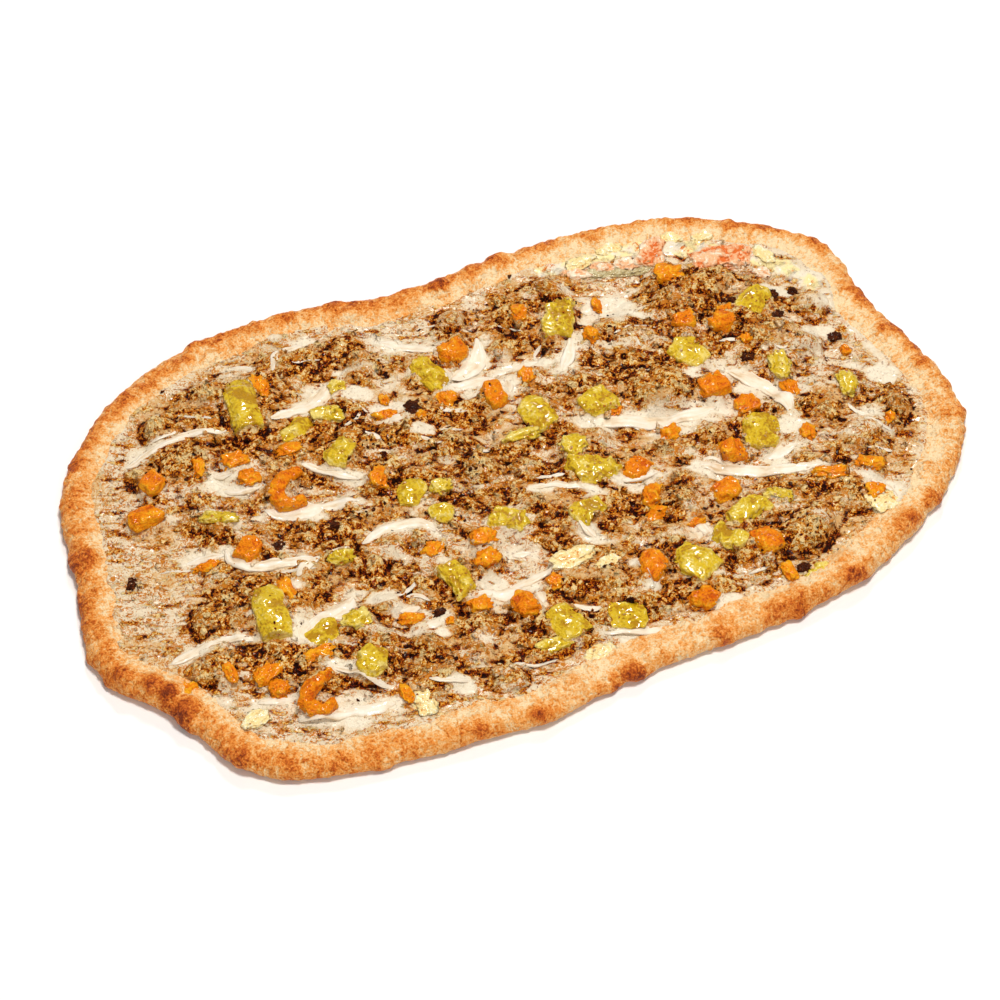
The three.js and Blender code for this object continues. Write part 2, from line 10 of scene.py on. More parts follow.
import logging
import math
from collections.abc import Callable, Iterator
from dataclasses import dataclass, field
from enum import Enum

import bmesh
import bpy
import numpy as np
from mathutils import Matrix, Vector
from mathutils.bvhtree import BVHTree


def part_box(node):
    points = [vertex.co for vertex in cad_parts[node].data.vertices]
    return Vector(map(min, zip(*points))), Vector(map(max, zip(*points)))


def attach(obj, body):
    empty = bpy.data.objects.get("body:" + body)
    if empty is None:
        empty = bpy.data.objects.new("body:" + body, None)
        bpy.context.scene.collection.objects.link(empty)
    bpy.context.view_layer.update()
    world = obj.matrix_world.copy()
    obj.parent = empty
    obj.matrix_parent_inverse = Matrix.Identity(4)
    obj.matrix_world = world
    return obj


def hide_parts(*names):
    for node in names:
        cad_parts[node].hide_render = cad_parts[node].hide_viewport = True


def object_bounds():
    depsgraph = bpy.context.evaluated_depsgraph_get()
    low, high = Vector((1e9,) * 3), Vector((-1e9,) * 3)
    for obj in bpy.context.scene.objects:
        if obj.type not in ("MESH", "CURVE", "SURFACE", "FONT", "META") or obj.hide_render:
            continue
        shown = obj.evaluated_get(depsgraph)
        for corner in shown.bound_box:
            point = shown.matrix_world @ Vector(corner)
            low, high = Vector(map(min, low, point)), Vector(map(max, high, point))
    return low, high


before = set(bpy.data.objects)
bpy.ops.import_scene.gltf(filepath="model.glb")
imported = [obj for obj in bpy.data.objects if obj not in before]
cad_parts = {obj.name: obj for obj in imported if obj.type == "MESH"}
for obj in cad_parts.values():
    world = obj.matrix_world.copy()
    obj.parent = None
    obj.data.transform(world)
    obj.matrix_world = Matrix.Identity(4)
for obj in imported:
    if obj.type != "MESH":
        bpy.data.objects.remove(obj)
CAD_LOW, CAD_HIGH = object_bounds()

LOG = logging.getLogger("flammkuchen")
MM = 0.001
Row = tuple[float, float, float, float, float]
Path = list[tuple[float, float]]
Triple = tuple[float, float, float]
# Turn of the lines along which cream and onion were spread.
FLOW_TURN = -24.0


# ---- Noise on arrays of points --------------------------------------------------------------


def lattice(cells: np.ndarray, seed: int) -> np.ndarray:
    """A repeatable number from 0 to 1 for each whole-number cell.

    Args:
        cells: Whole numbers, one row for each cell.
        seed: Picks one of many such fields.

    Returns:
        One number for each row.
    """
    primes = np.array([374761393, 668265263, 2147483629], np.int64)[: cells.shape[1]]
    mixed = (cells.astype(np.int64) * primes).sum(axis=1) + seed * 1274126177
    mixed = (mixed ^ (mixed >> 13)) * 1103515245
    mixed = (mixed ^ (mixed >> 16)) & 0xFFFFFF
    return mixed / float(0xFFFFFF)


def hills(points: np.ndarray, length: float, seed: int = 0) -> np.ndarray:
    """Smooth noise from -1 to 1.

    Args:
        points: Points of two or three coordinates, one in each row.
        length: Distance between hills.
        seed: Picks one of many such fields.

    Returns:
        The noise at each point.
    """
    scaled = points / length
    base = np.floor(scaled)
    part = scaled - base
    part = part * part * (3 - 2 * part)
    total = np.zeros(len(points))
    for corner in np.ndindex(*(2,) * points.shape[1]):
        offset = np.array(corner)
        weight = np.prod(np.where(offset == 1, part, 1 - part), axis=1)
        total += weight * lattice(base + offset, seed)
    return 2 * total - 1


def rough_hills(points: np.ndarray, length: float, seed: int = 0, octaves: int = 3) -> np.ndarray:
    """Hills with smaller hills on them.

    Args:
        points: Points, one in each row.
        length: Distance between the largest hills.
        seed: Picks one of many such fields.
        octaves: How many sizes of hill there are, each half the one before.

    Returns:
        The noise at each point, mostly between -1 and 1.
    """
    total = np.zeros(len(points))
    for octave in range(octaves):
        total += hills(points, length / 2**octave, seed + 31 * octave) / 2**octave
    return total / 1.5


def cells_near(points: np.ndarray, size: float, seed: int) -> Iterator[tuple[np.ndarray, np.ndarray]]:
    """The nine cells about each point, each with a middle of its own.

    Args:
        points: Points of the plan, one in each row.
        size: Width of a cell.
        seed: Picks one of many such fields.

    Yields:
        A cell for each point, and how far its middle is from the point, in cells.
    """
    scaled = points[:, :2] / size
    base = np.floor(scaled)
    for step in np.ndindex(3, 3):
        cell = base + np.array(step) - 1
        middle = cell + np.stack([lattice(cell, seed), lattice(cell, seed + 7)], axis=1)
        yield cell, np.linalg.norm(scaled - middle, axis=1)


def pebbles(points: np.ndarray, size: float, seed: int = 0) -> tuple[np.ndarray, np.ndarray]:
    """Rounded bumps packed side by side, as of pebbles in a bed.

    Args:
        points: Points of the plan, one in each row.
        size: Mean distance between pebbles.
        seed: Picks one of many such beds.

    Returns:
        The height of the bump, from 0 at the joints to 1 on top, and each pebble's own number.
    """
    nearest, owner = np.full(len(points), 9.0), np.zeros(len(points))
    for cell, away in cells_near(points, size, seed):
        owner = np.where(away < nearest, lattice(cell, seed + 13), owner)
        nearest = np.minimum(nearest, away)
    return np.clip(1 - (nearest / 0.75) ** 2, 0, 1), owner


def blisters(points: np.ndarray, size: float, seed: int = 0) -> np.ndarray:
    """Scattered domes of different strengths, from 0 between them to 1.

    Args:
        points: Points of the plan, one in each row.
        size: Mean distance between domes.
        seed: Picks one of many such fields.

    Returns:
        The height of the highest dome at each point.
    """
    best = np.zeros(len(points))
    for cell, away in cells_near(points, size, seed):
        strength = ease(lattice(cell, seed + 13), 0.3, 0.9)
        best = np.maximum(best, strength * np.clip(1 - away**2 / 0.4, 0, 1) ** 1.5)
    return best


def evenly(line: np.ndarray, count: int, endpoint: bool = True) -> tuple[np.ndarray, np.ndarray]:
    """Even steps along a line.

    Args:
        line: Its corners, one in each row, with x and y first.
        count: How many points are wanted.
        endpoint: Whether the last of them is the line's end or one step short of it.

    Returns:
        The points, and how far along the line each of them lies.
    """
    travelled = np.concatenate([[0], np.cumsum(np.linalg.norm(np.diff(line[:, :2], axis=0), axis=1))])
    even = np.linspace(0, travelled[-1], count, endpoint=endpoint)
    return np.stack([np.interp(even, travelled, column) for column in line.T], axis=1), even


def turned(points: np.ndarray, turn: float) -> np.ndarray:
    """Points of the plan, or one such point, turned about the origin."""
    c, s = math.cos(math.radians(turn)), math.sin(math.radians(turn))
    return points @ np.array([[c, s], [-s, c]])


def ease(value: np.ndarray, low: float, high: float) -> np.ndarray:
    """0 below low, 1 above high and an even S between; high may be the smaller of the two."""
    part = np.clip((value - low) / (high - low), 0, 1)
    return part * part * (3 - 2 * part)


def painted_light_at_right(points: np.ndarray) -> np.ndarray:
    """0 over most of the bread's plan and 1 at its far right, where painted light makes crust and cream
    lighter.
    """
    return ease(points[:, 0] + 0.7 * points[:, 1], 40, 120)


def blurred(field_values: np.ndarray, sigma: float) -> np.ndarray:
    """A grid of values, smoothed.

    Args:
        field_values: Values on a grid.
        sigma: Width of the smoothing in grid steps.

    Returns:
        A grid of the same size.
    """
    reach = int(3 * sigma) + 1
    kernel = np.exp(-0.5 * (np.arange(-reach, reach + 1) / sigma) ** 2)
    kernel /= kernel.sum()
    result = field_values
    for axis in (0, 1):
        pad = [(reach, reach) if axis == a else (0, 0) for a in (0, 1)]
        wide = np.pad(result, pad, mode="edge")
        result = np.apply_along_axis(lambda line: np.convolve(line, kernel, "valid"), axis, wide)
    return result


# ---- Node trees written as expressions ------------------------------------------------------


class Sock:
    """A node's output that arithmetic can be done on."""

    def __init__(self, book: NodeBook, socket: bpy.types.NodeSocket) -> None:
        """Wraps a socket of a tree."""
        self.book = book
        self.socket = socket

    def math(self, operation: str, first: Sock | float, second: Sock | float) -> Sock:
        """Adds a Math node on two values and gives its result."""
        node = self.book.add("ShaderNodeMath", {"operation": operation}, {0: first, 1: second})
        return Sock(self.book, node.outputs[0])

    def __add__(self, other: Sock | float) -> Sock:
        """Sum."""
        return self.math("ADD", self, other)

    __radd__ = __add__

    def __sub__(self, other: Sock | float) -> Sock:
        """Difference."""
        return self.math("SUBTRACT", self, other)

    def __rsub__(self, other: float) -> Sock:
        """Difference from a number."""
        return self.math("SUBTRACT", other, self)

    def __mul__(self, other: Sock | float) -> Sock:
        """Product."""
        return self.math("MULTIPLY", self, other)

    __rmul__ = __mul__

    def __truediv__(self, other: Sock | float) -> Sock:
        """Quotient."""
        return self.math("DIVIDE", self, other)

    def above(self, low: float, high: float) -> Sock:
        """0 below low, 1 above high and an even S between; high may be the smaller of the two.

        Args:
            low: Where it leaves 0.
            high: Where it reaches 1.

        Returns:
            The share.
        """
        values = {"Value": self, "From Min": low, "From Max": high}
        node = self.book.add("ShaderNodeMapRange", {"interpolation_type": "SMOOTHSTEP"}, values)
        return Sock(self.book, node.outputs["Result"])

    def limited(self) -> Sock:
        """The value kept between 0 and 1."""
        return self.math("MINIMUM", self.math("MAXIMUM", self, 0.0), 1.0)


class NodeBook:
    """Writes the nodes of one tree."""

    def __init__(self, tree: bpy.types.NodeTree) -> None:
        """Starts on a tree."""
        self.tree = tree

    def add(
        self, kind: str, settings: dict[str, object] | None = None, values: dict | None = None
    ) -> bpy.types.Node:
        """Adds any node.

        Args:
            kind: The node's type.
            settings: Its own settings, which are set first; stops are a colour ramp's.
            values: Values or links of its inputs, by name or number.

        Returns:
            The node.
        """
        node = self.tree.nodes.new(kind)
        for key, value in (settings or {}).items():
            if key == "stops":
                self._set_stops(node.color_ramp, value)
            else:
                setattr(node, key, value)
        for key, value in (values or {}).items():
            self.feed(node.inputs[key], value)
        return node

    def vector(self, operation: str, values: dict, result: int | str = 0) -> bpy.types.NodeSocket:
        """Adds a Vector Math node and gives one of its results."""
        node = self.add("ShaderNodeVectorMath", {"operation": operation}, values)
        return node.outputs[result]

    def feed(self, target: bpy.types.NodeSocket, value: object) -> None:
        """Links or sets one input.

        Args:
            target: The input.
            value: A link's source or a plain value.
        """
        source = value.socket if isinstance(value, Sock) else value
        if isinstance(source, bpy.types.NodeSocket):
            self.tree.links.new(source, target)
        else:
            target.default_value = source

    def _set_stops(self, ramp: bpy.types.ColorRamp, stops: list[tuple[float, Colour]]) -> None:
        """Gives a colour ramp its stops.

        Args:
            ramp: The ramp.
            stops: Each stop's place from 0 to 1 and its colour.
        """
        while len(ramp.elements) < len(stops):
            ramp.elements.new(1.0)
        for element, (place, colour) in zip(ramp.elements, stops):
            element.position = place
            element.color = colour.linear()


@dataclass(frozen=True)
class Colour:
    """A colour as a picture holds it, from 0 to 255."""

    red: int
    green: int
    blue: int

    def linear(self) -> tuple[float, float, float, float]:
        """The colour as light, with full cover.

        Returns:
            Red, green, blue and cover, from 0 to 1.
        """
        parts = [channel / 255 for channel in (self.red, self.green, self.blue)]
        light = [p / 12.92 if p <= 0.04045 else ((p + 0.055) / 1.055) ** 2.4 for p in parts]
        return (*light, 1.0)


class Paint(NodeBook):
    """Writes one material on a Principled shader."""

    def __init__(self, name: str, constants: dict[str, object]) -> None:
        """Starts a material.

        Args:
            name: The material's name.
            constants: Values of the shader's own sockets that are the same all over.
        """
        self.material = bpy.data.materials.new(name)
        self.material.use_nodes = True
        super().__init__(self.material.node_tree)
        self.shader = self.tree.nodes["Principled BSDF"]
        for key, value in constants.items():
            self.shader.inputs[key].default_value = value
        place = self.add("ShaderNodeTexCoord").outputs["Object"]
        self.place = self.vector("SCALE", {0: place, "Scale": 1 / MM})

    def noise(self, size: float, detail: float = 3.0, place: object = None) -> Sock:
        """Cloudy noise from 0 to 1.

        Args:
            size: Size of its clouds in millimetres.
            detail: How many finer sizes are added.
            place: Where it is read, if not at the point itself.

        Returns:
            The noise.
        """
        values = {"Vector": place or self.place, "Scale": 1 / size, "Detail": detail}
        return Sock(self, self.add("ShaderNodeTexNoise", None, values).outputs[0])

    def stirred(self, size: float, reach: float) -> bpy.types.NodeSocket:
        """The point moved about by noise, so that what is read there turns ragged.

        Args:
            size: Size of the noise in millimetres.
            reach: How far points move, in millimetres.

        Returns:
            The moved point.
        """
        values = {"Vector": self.place, "Scale": 1 / size, "Detail": 3.0}
        cloud = self.add("ShaderNodeTexNoise", None, values).outputs["Color"]
        return self.vector("ADD", {0: self.place, 1: self.vector("SCALE", {0: cloud, "Scale": 2 * reach})})

    def drawn_out(self, turn: float, ratio: float) -> bpy.types.NodeSocket:
        """The point with one direction of the plan shortened, so that noise read there is drawn out.

        Args:
            turn: The direction's turn.
            ratio: How many times longer the noise gets along it.

        Returns:
            The changed point.
        """
        c, s = math.cos(math.radians(turn)), math.sin(math.radians(turn))
        rows = {"X": (c / ratio, s / ratio, 0), "Y": (-s, c, 0), "Z": (0, 0, 1)}
        return self.joined({
            axis: self.vector("DOT_PRODUCT", {0: self.place, 1: row}, "Value") for axis, row in rows.items()
        })

    def joined(self, parts: dict[str, object]) -> bpy.types.NodeSocket:
        """A vector made of its parts."""
        return self.add("ShaderNodeCombineXYZ", None, parts).outputs[0]

    def spots(self, size: float, place: object = None) -> Sock:
        """Distance from scattered points, 0 at each point, in shares of their spacing."""
        values = {"Vector": place or self.place, "Scale": 1 / size}
        return Sock(self, self.add("ShaderNodeTexVoronoi", None, values).outputs["Distance"])

    def ramp(self, share: Sock, stops: list[tuple[float, Colour]]) -> Sock:
        """Colours along a scale from 0 to 1."""
        node = self.add("ShaderNodeValToRGB", {"stops": stops}, {"Fac": share})
        return Sock(self, node.outputs["Color"])

    def attribute(self, name: str) -> Sock:
        """A number that the mesh stores."""
        node = self.add("ShaderNodeAttribute", {"attribute_name": name})
        return Sock(self, node.outputs["Fac"])

    def mix(self, share: Sock | float, low: object, high: object) -> Sock:
        """Mixes two colours.

        Args:
            share: How much of the second there is.
            low: First colour.
            high: Second colour.

        Returns:
            The mixed colour.
        """
        node = self.add("ShaderNodeMix", {"data_type": "RGBA"}, {"Factor": share})
        colour_inputs = [socket for socket in node.inputs if socket.type == "RGBA"]
        for target, value in zip(colour_inputs, (low, high)):
            self.feed(target, value.linear() if isinstance(value, Colour) else value)
        return Sock(self, next(out for out in node.outputs if out.type == "RGBA"))

    def relief(self, height: Sock, depth: float) -> None:
        """Bumps the surface by a height from 0 to 1 that stands for a depth in millimetres."""
        node = self.add("ShaderNodeBump", None, {"Height": height, "Distance": depth * MM})
        self.feed(self.shader.inputs["Normal"], node.outputs["Normal"])

    def finish(self, colour: Sock, roughness: Sock | float) -> bpy.types.Material:
        """Links colour and roughness, and gives the material.

        Args:
            colour: Its base colour.
            roughness: Its roughness.

        Returns:
            The material.
        """
        self.feed(self.shader.inputs["Base Color"], colour)
        self.feed(self.shader.inputs["Roughness"], roughness)
        return self.material


# ---- Finishes -------------------------------------------------------------------------------


@dataclass(frozen=True)
class CrustFinish:
    """Baked dough: pale inside the rim, golden on its back, brown on its blisters."""

    flour: Colour = Colour(250, 222, 176)
    peach: Colour = Colour(247, 194, 130)
    golden: Colour = Colour(239, 158, 72)
    toasted: Colour = Colour(221, 121, 34)
    brown: Colour = Colour(180, 78, 8)
    burnt: Colour = Colour(120, 44, 4)

    def material(self) -> bpy.types.Material:
        """Builds the material.

        Returns:
            The material.
        """
        paint = Paint("Baked dough", {"Specular IOR Level": 0.22})
        ragged = paint.stirred(2.4, 1.0)
        crumb = paint.noise(1.4, 4, ragged)
        cloud = paint.noise(8, 4)
        speck = paint.noise(0.6, 2)
        sides = {
            "X": paint.attribute("edge_x") / 1.8 + paint.noise(3.5, 2) * 5,
            "Y": paint.attribute("edge_y") / 1.8, "Z": paint.attribute("inside") / 5.5,
        }
        ridge = paint.noise(1.0, 3, paint.joined(sides))
        # The toast value holds real toasting and painted light that lightens the rim's front and far right.
        shade = paint.attribute("toast") * 0.6 + (cloud - 0.5) * 0.75 + (ridge - 0.5) * 0.9
        shade = shade + (crumb - 0.5) * 0.8 + (speck - 0.5) * 0.9
        shade = shade + paint.attribute("brown").limited() * 0.5 - 0.13
        stops = [
            (0.02, self.flour), (0.2, self.peach), (0.42, self.golden), (0.6, self.toasted),
            (0.8, self.brown), (1.0, self.burnt),
        ]
        paint.relief(crumb + 0.4 * speck + 0.6 * ridge, 1.2)
        return paint.finish(paint.ramp(shade.limited(), stops), 0.35 + 0.4 * cloud)


@dataclass(frozen=True)
class BedFinish:
    """Crumbled browned mince that turns into baked cream or cheese wherever they cover it."""

    # The palest stop of the mince is a painted gleam on its lit grains.
    painted_gleam: Colour = Colour(245, 214, 152)
    fat: Colour = Colour(239, 190, 108)
    beige: Colour = Colour(227, 157, 42)
    caramel: Colour = Colour(210, 114, 2)
    brown: Colour = Colour(148, 41, 0)
    char: Colour = Colour(40, 7, 0)
    white: Colour = Colour(243, 231, 207)
    milk: Colour = Colour(232, 214, 184)
    cream: Colour = Colour(216, 174, 116)
    amber: Colour = Colour(196, 118, 28)
    fleck: Colour = Colour(126, 50, 6)
    curd: Colour = Colour(254, 234, 170)
    grilled: Colour = Colour(218, 118, 34)

    def material(self) -> bpy.types.Material:
        """Builds the material.

        Returns:
            The material.
        """
        paint = Paint("Baked topping", {"Specular IOR Level": 0.1, "Coat Roughness": 0.16})
        ragged = paint.stirred(2.2, 1.5)
        flow = paint.noise(2.4, 3, paint.drawn_out(FLOW_TURN, 2.8))
        grain = paint.spots(1.7, ragged)
        speck = paint.noise(0.5, 2)
        crumb = paint.noise(1.0, 3, ragged) * 0.7 + speck * 0.5 - 0.1
        clump = paint.noise(4.5, 3) * 0.6 + paint.noise(2.2, 3, ragged) * 0.6 - 0.1
        broad = paint.noise(16, 3)
        soft = paint.attribute("cream")
        edge = (flow - 0.5) * 2.3 + (clump - 0.5) * 0.6 + (crumb - 0.5) * 1.2
        # The film keeps to the tops and off the hollows, following their painted shade.
        edge = edge + (0.5 - paint.attribute("tone")) * 0.3
        mask = (soft + edge).above(0.5, 0.7)
        meat = self._meat(paint, grain, crumb, clump)
        milk = self._milk(paint, crumb, clump * 0.4 + flow * 0.6, broad, ragged)
        colour = paint.mix(mask, meat, milk)
        cheese = paint.attribute("cheese")
        melted = (cheese + (clump - 0.5) * 0.5 + (crumb - 0.5) * 0.3).above(0.3, 0.55)
        browned = (cheese + (clump - 0.5) * 1.4 + (crumb - 0.5) * 1.2).above(0.82, 1.15)
        curd = paint.mix(paint.noise(5, 3).above(0.4, 0.6), self.curd, self.white)
        colour = paint.mix(melted, colour, paint.mix(browned, curd, self.grilled))
        lumpy = (1 - grain) * 0.7 + crumb
        smooth = crumb * 0.5 + clump * 0.5
        paint.relief(lumpy * (1 - mask) + smooth * mask, 1.4)
        glint = paint.noise(1.6, 3).above(0.54, 0.66) * 0.55
        paint.feed(paint.shader.inputs["Coat Weight"], glint)
        return paint.finish(colour, 0.62 - 0.2 * mask)

    def _meat(self, paint: Paint, grain: Sock, crumb: Sock, clump: Sock) -> Sock:
        """The mince's colour, with painted light on its grains and painted shade between them and in
        hollows.

        Args:
            paint: The material's writer.
            grain: Distance from the grains' middles.
            crumb: Fine noise.
            clump: Noise of a few millimetres.

        Returns:
            The colour.
        """
        # Painted shade: the hollow shade value and the distance from the grains' middles darken crevices
        # and light the tops; crumb and clump noise is random tone.
        shade = paint.attribute("tone") + (grain - 0.35) * 0.8 + (crumb - 0.5) * 3.8
        shade = shade + (clump - 0.5) * 1.9 - 0.08
        scorched = paint.noise(3.6, 3).above(0.58, 0.7) * 0.4
        shade = shade + scorched - paint.attribute("cream") * 0.2
        stops = [
            (0.0, self.painted_gleam), (0.09, self.fat), (0.26, self.beige), (0.48, self.caramel),
            (0.7, self.brown), (0.94, self.char),
        ]
        return paint.ramp(shade.limited(), stops)

    def _milk(self, paint: Paint, crumb: Sock, clump: Sock, broad: Sock, ragged: object) -> Sock:
        """The cream's colour, with amber spots and brown flecks.

        Args:
            paint: The material's writer.
            crumb: Fine noise.
            clump: Noise of a few millimetres.
            broad: Noise of many millimetres.
            ragged: The point, moved about.

        Returns:
            The colour.
        """
        rich = paint.attribute("cream")
        warm = broad + (clump - 0.5) * 1.1 + (crumb - 0.5) * 1.4 - (rich - 0.75) * 0.6
        colour = paint.mix(warm.above(0.41, 0.66), self.milk, self.cream)
        baked = paint.noise(4, 3, ragged) + (crumb - 0.5) * 2.0 - (rich - 0.7) * 0.5
        colour = paint.mix(baked.above(0.5, 0.72), colour, self.amber)
        plain = (rich + (clump - 0.5) * 1.2 + (crumb - 0.5) * 0.6).above(0.85, 1.2)
        colour = paint.mix(plain, colour, self.white)
        flecks = paint.spots(1.6, ragged).above(0.32, 0.18) * paint.noise(6, 2).above(0.4, 0.52)
        return paint.mix(flecks * (1.5 - rich).limited(), colour, self.fleck)


@dataclass(frozen=True)
class MoistFinish:
    """A moist piece of vegetable or meat, in clouds, with painted light on its ridges and steep sides,
    painted shade in its folds, and a wet gloss.
    """

    name: str
    deep: Colour
    base: Colour
    light: Colour
    cloud_size: float = 5.0
    gloss: float = 0.4
    ridge_light: float = 0.5
    relief_depth: float = 0.9

    def material(self) -> bpy.types.Material:
        """Builds the material.

        Returns:
            The material.
        """
        constants = {"Specular IOR Level": 0.1, "Coat Weight": self.gloss, "Coat Roughness": 0.1}
        paint = Paint(self.name, constants)
        cloud = paint.noise(self.cloud_size, 3)
        fine = paint.noise(self.cloud_size / 4, 3)
        shade = cloud + (fine - 0.5) * 1.1
        # Painted light on raised folds and steep sides, and painted shade in the folds' hollows, from the
        # ridge value.
        if self.ridge_light:
            shade = shade + (paint.attribute("ridge") - 0.5) * self.ridge_light
        stops = [(0.15, self.deep), (0.38, self.base), (0.55, self.base), (0.8, self.light)]
        paint.relief(fine + 0.6 * cloud, self.relief_depth)
        return paint.finish(paint.ramp(shade, stops), 0.3 + 0.3 * fine)


@dataclass(frozen=True)
class StripFinish:
    """Cooked onion: milky, with veins along the strip."""

    shadow: Colour = Colour(206, 172, 126)
    milk: Colour = Colour(235, 218, 191)
    sheen: Colour = Colour(243, 234, 218)

    def material(self) -> bpy.types.Material:
        """Builds the material.

        Returns:
            The material.
        """
        paint = Paint("Cooked onion", {"Specular IOR Level": 0.25, "Coat Roughness": 0.1})
        sides = {"X": paint.attribute("across") * 1.5, "Y": paint.attribute("along") * 0.08}
        vein = paint.noise(1.0, 3, paint.joined(sides))
        shade = vein * 0.65 + paint.noise(4, 4) * 0.35
        stops = [(0.3, self.shadow), (0.44, self.milk), (0.6, self.sheen)]
        paint.relief(vein + 0.4 * paint.noise(1.5, 2), 0.6)
        paint.feed(paint.shader.inputs["Coat Weight"], paint.noise(3, 2).above(0.45, 0.6) * 0.4)
        return paint.finish(paint.ramp(shade, stops), 0.5 - 0.2 * vein)


class Finish(Enum):
    """The finishes of the toppings."""

    PEPPER = MoistFinish(
        "Pickled pepper", Colour(184, 134, 0), Colour(220, 184, 28), Colour(240, 216, 116),
        4.0, 0.8, 0.9,
    )
    ORANGE = MoistFinish(
        "Orange dice", Colour(208, 90, 0), Colour(240, 134, 0), Colour(248, 172, 24), 3.0, 0.3, 0.7
    )
    HAM = MoistFinish(
        "Baked ham", Colour(226, 114, 44), Colour(246, 188, 140), Colour(252, 234, 206), 4.2, 0.3, 0.9
    )
    HERB = MoistFinish(
        "Herb strip", Colour(160, 128, 74), Colour(196, 176, 126), Colour(218, 206, 164), 3.0, 0.3
    )
    CHEESE = MoistFinish(
        "Cheese curd", Colour(228, 144, 52), Colour(253, 228, 160), Colour(255, 246, 208), 3.5, 0.4
    )
    CHAR = MoistFinish(
        "Charred fleck", Colour(34, 10, 1), Colour(66, 24, 4), Colour(140, 66, 16), 1.5, 0.1, 0.0
    )


# ---- The plan of the bread ------------------------------------------------------------------


@dataclass
class Plan:
    """The bread's edge seen from above."""

    corners: Path = field(
        default_factory=lambda: [
            (150, -22), (145, 9), (142, 24), (143, 40), (138, 55), (127, 66), (99, 82), (68, 89),
            (36, 90), (5, 88), (-11, 89), (-27, 93), (-59, 96), (-90, 90), (-117, 74), (-137, 48),
            (-143, 17), (-150, -14), (-147, -30), (-137, -43), (-130, -57), (-124, -71),
            (-112, -83), (-83, -91), (-51, -94), (-27, -96), (-3, -92), (29, -91), (61, -90),
            (92, -83), (121, -68), (139, -52), (147, -39),
        ]
    )
    steps: int = 1300

    def __post_init__(self) -> None:
        """Works out the edge's points and the directions into the bread."""
        fine = self._smooth_line(24)
        self.edge, even = evenly(np.vstack([fine, fine[:1]]), self.steps, endpoint=False)
        self.length = float(even[-1] + even[1])
        self.edge -= (self.edge.max(axis=0) + self.edge.min(axis=0)) / 2
        ahead = np.roll(self.edge, -4, axis=0) - np.roll(self.edge, 4, axis=0)
        inward = np.stack([-ahead[:, 1], ahead[:, 0]], axis=1)
        self.inward = inward / np.linalg.norm(inward, axis=1, keepdims=True)

    def _smooth_line(self, pieces: int) -> np.ndarray:
        """The centripetal curve through the corners, in a number of pieces between two corners.

        Args:
            pieces: How many steps it takes from a corner to the next.

        Returns:
            Its points, one in each row.
        """
        corners = np.array(self.corners, float)
        result = []
        for k in range(len(corners)):
            four = [corners[(k + i) % len(corners)] for i in (-1, 0, 1, 2)]
            gaps = [math.sqrt(np.linalg.norm(b - a)) for a, b in zip(four, four[1:])]
            knots = np.cumsum([0.0] + gaps)
            for t in np.linspace(knots[1], knots[2], pieces, endpoint=False):
                result.append(self._between(four, knots, t))
        return np.array(result)

    @staticmethod
    def _between(points: list[np.ndarray], knots: np.ndarray, t: float) -> np.ndarray:
        """The point at a knot value, between the second and the third of four points.

        Args:
            points: The four points.
            knots: Their knot values.
            t: The knot value.

        Returns:
            The point there.
        """

        def blended(rows: list[np.ndarray], first: int, reach: int) -> list[np.ndarray]:
            """The points between each two rows, whose knots are a reach apart.

            Args:
                rows: The points.
                first: Number of the first one's knot.
                reach: How many knots apart they are.

            Returns:
                One point fewer than there were.
            """
            spans = zip(knots[first:-reach], knots[first + reach :])
            shares = [(t - low) / (high - low) for low, high in spans]
            return [(1 - s) * a + s * b for s, a, b in zip(shares, rows, rows[1:])]

        return blended(blended(blended(points, 0, 1), 0, 2), 1, 1)[0]

    def inset(self, points: np.ndarray) -> np.ndarray:
        """How far each point lies inside the edge, in millimetres, less than 0 outside.

        Args:
            points: Points of the plan, one in each row.

        Returns:
            One distance for each point.
        """
        result = np.empty(len(points))
        for start in range(0, len(points), 4000):
            part = points[start : start + 4000, :2]
            gap = part[:, None, :] - self.edge[None, ::2, :]
            square = (gap**2).sum(axis=2)
            nearest = square.argmin(axis=1)
            rows = np.arange(len(part))
            side = (gap[rows, nearest] * self.inward[::2][nearest]).sum(axis=1)
            result[start : start + 4000] = np.sqrt(square[rows, nearest]) * np.sign(side)
        return result


# ---- Meshes ---------------------------------------------------------------------------------


def solid_piece(
    name: str,
    points: np.ndarray,
    faces: list[tuple[int, ...]],
    material: bpy.types.Material,
    numbers: dict[str, np.ndarray] | None = None,
) -> bpy.types.Object:
    """Makes a piece of the bread that rides on its one body.

    Args:
        name: The piece's name.
        points: Its corners in millimetres.
        faces: Its faces, as corner numbers.
        material: Its finish.
        numbers: Values that the mesh stores for each corner, by name.

    Returns:
        The piece.
    """
    mesh = bpy.data.meshes.new(name)
    mesh.from_pydata((points * MM).tolist(), [], faces)
    for key, values in (numbers or {}).items():
        store(mesh, key, values)
    return dressed(name, mesh, material)


def store(mesh: bpy.types.Mesh, key: str, values: np.ndarray) -> None:
    """Stores a number for each corner of a mesh."""
    layer = mesh.attributes.get(key) or mesh.attributes.new(key, "FLOAT", "POINT")
    layer.data.foreach_set("value", np.asarray(values, np.float32))


def dressed(name: str, mesh: bpy.types.Mesh, material: bpy.types.Material) -> bpy.types.Object:
    """Puts a finished mesh in the scene with its finish and its body.

    Args:
        name: The piece's name.
        mesh: Its mesh, in metres.
        material: Its finish.

    Returns:
        The piece.
    """
    mesh.materials.clear()
    mesh.materials.append(material)
    mesh.shade_smooth()
    piece = bpy.data.objects.new(name, mesh)
    bpy.context.scene.collection.objects.link(piece)
    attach(piece, "root")
    LOG.info("%s: %d faces", name, len(mesh.polygons))
    return piece


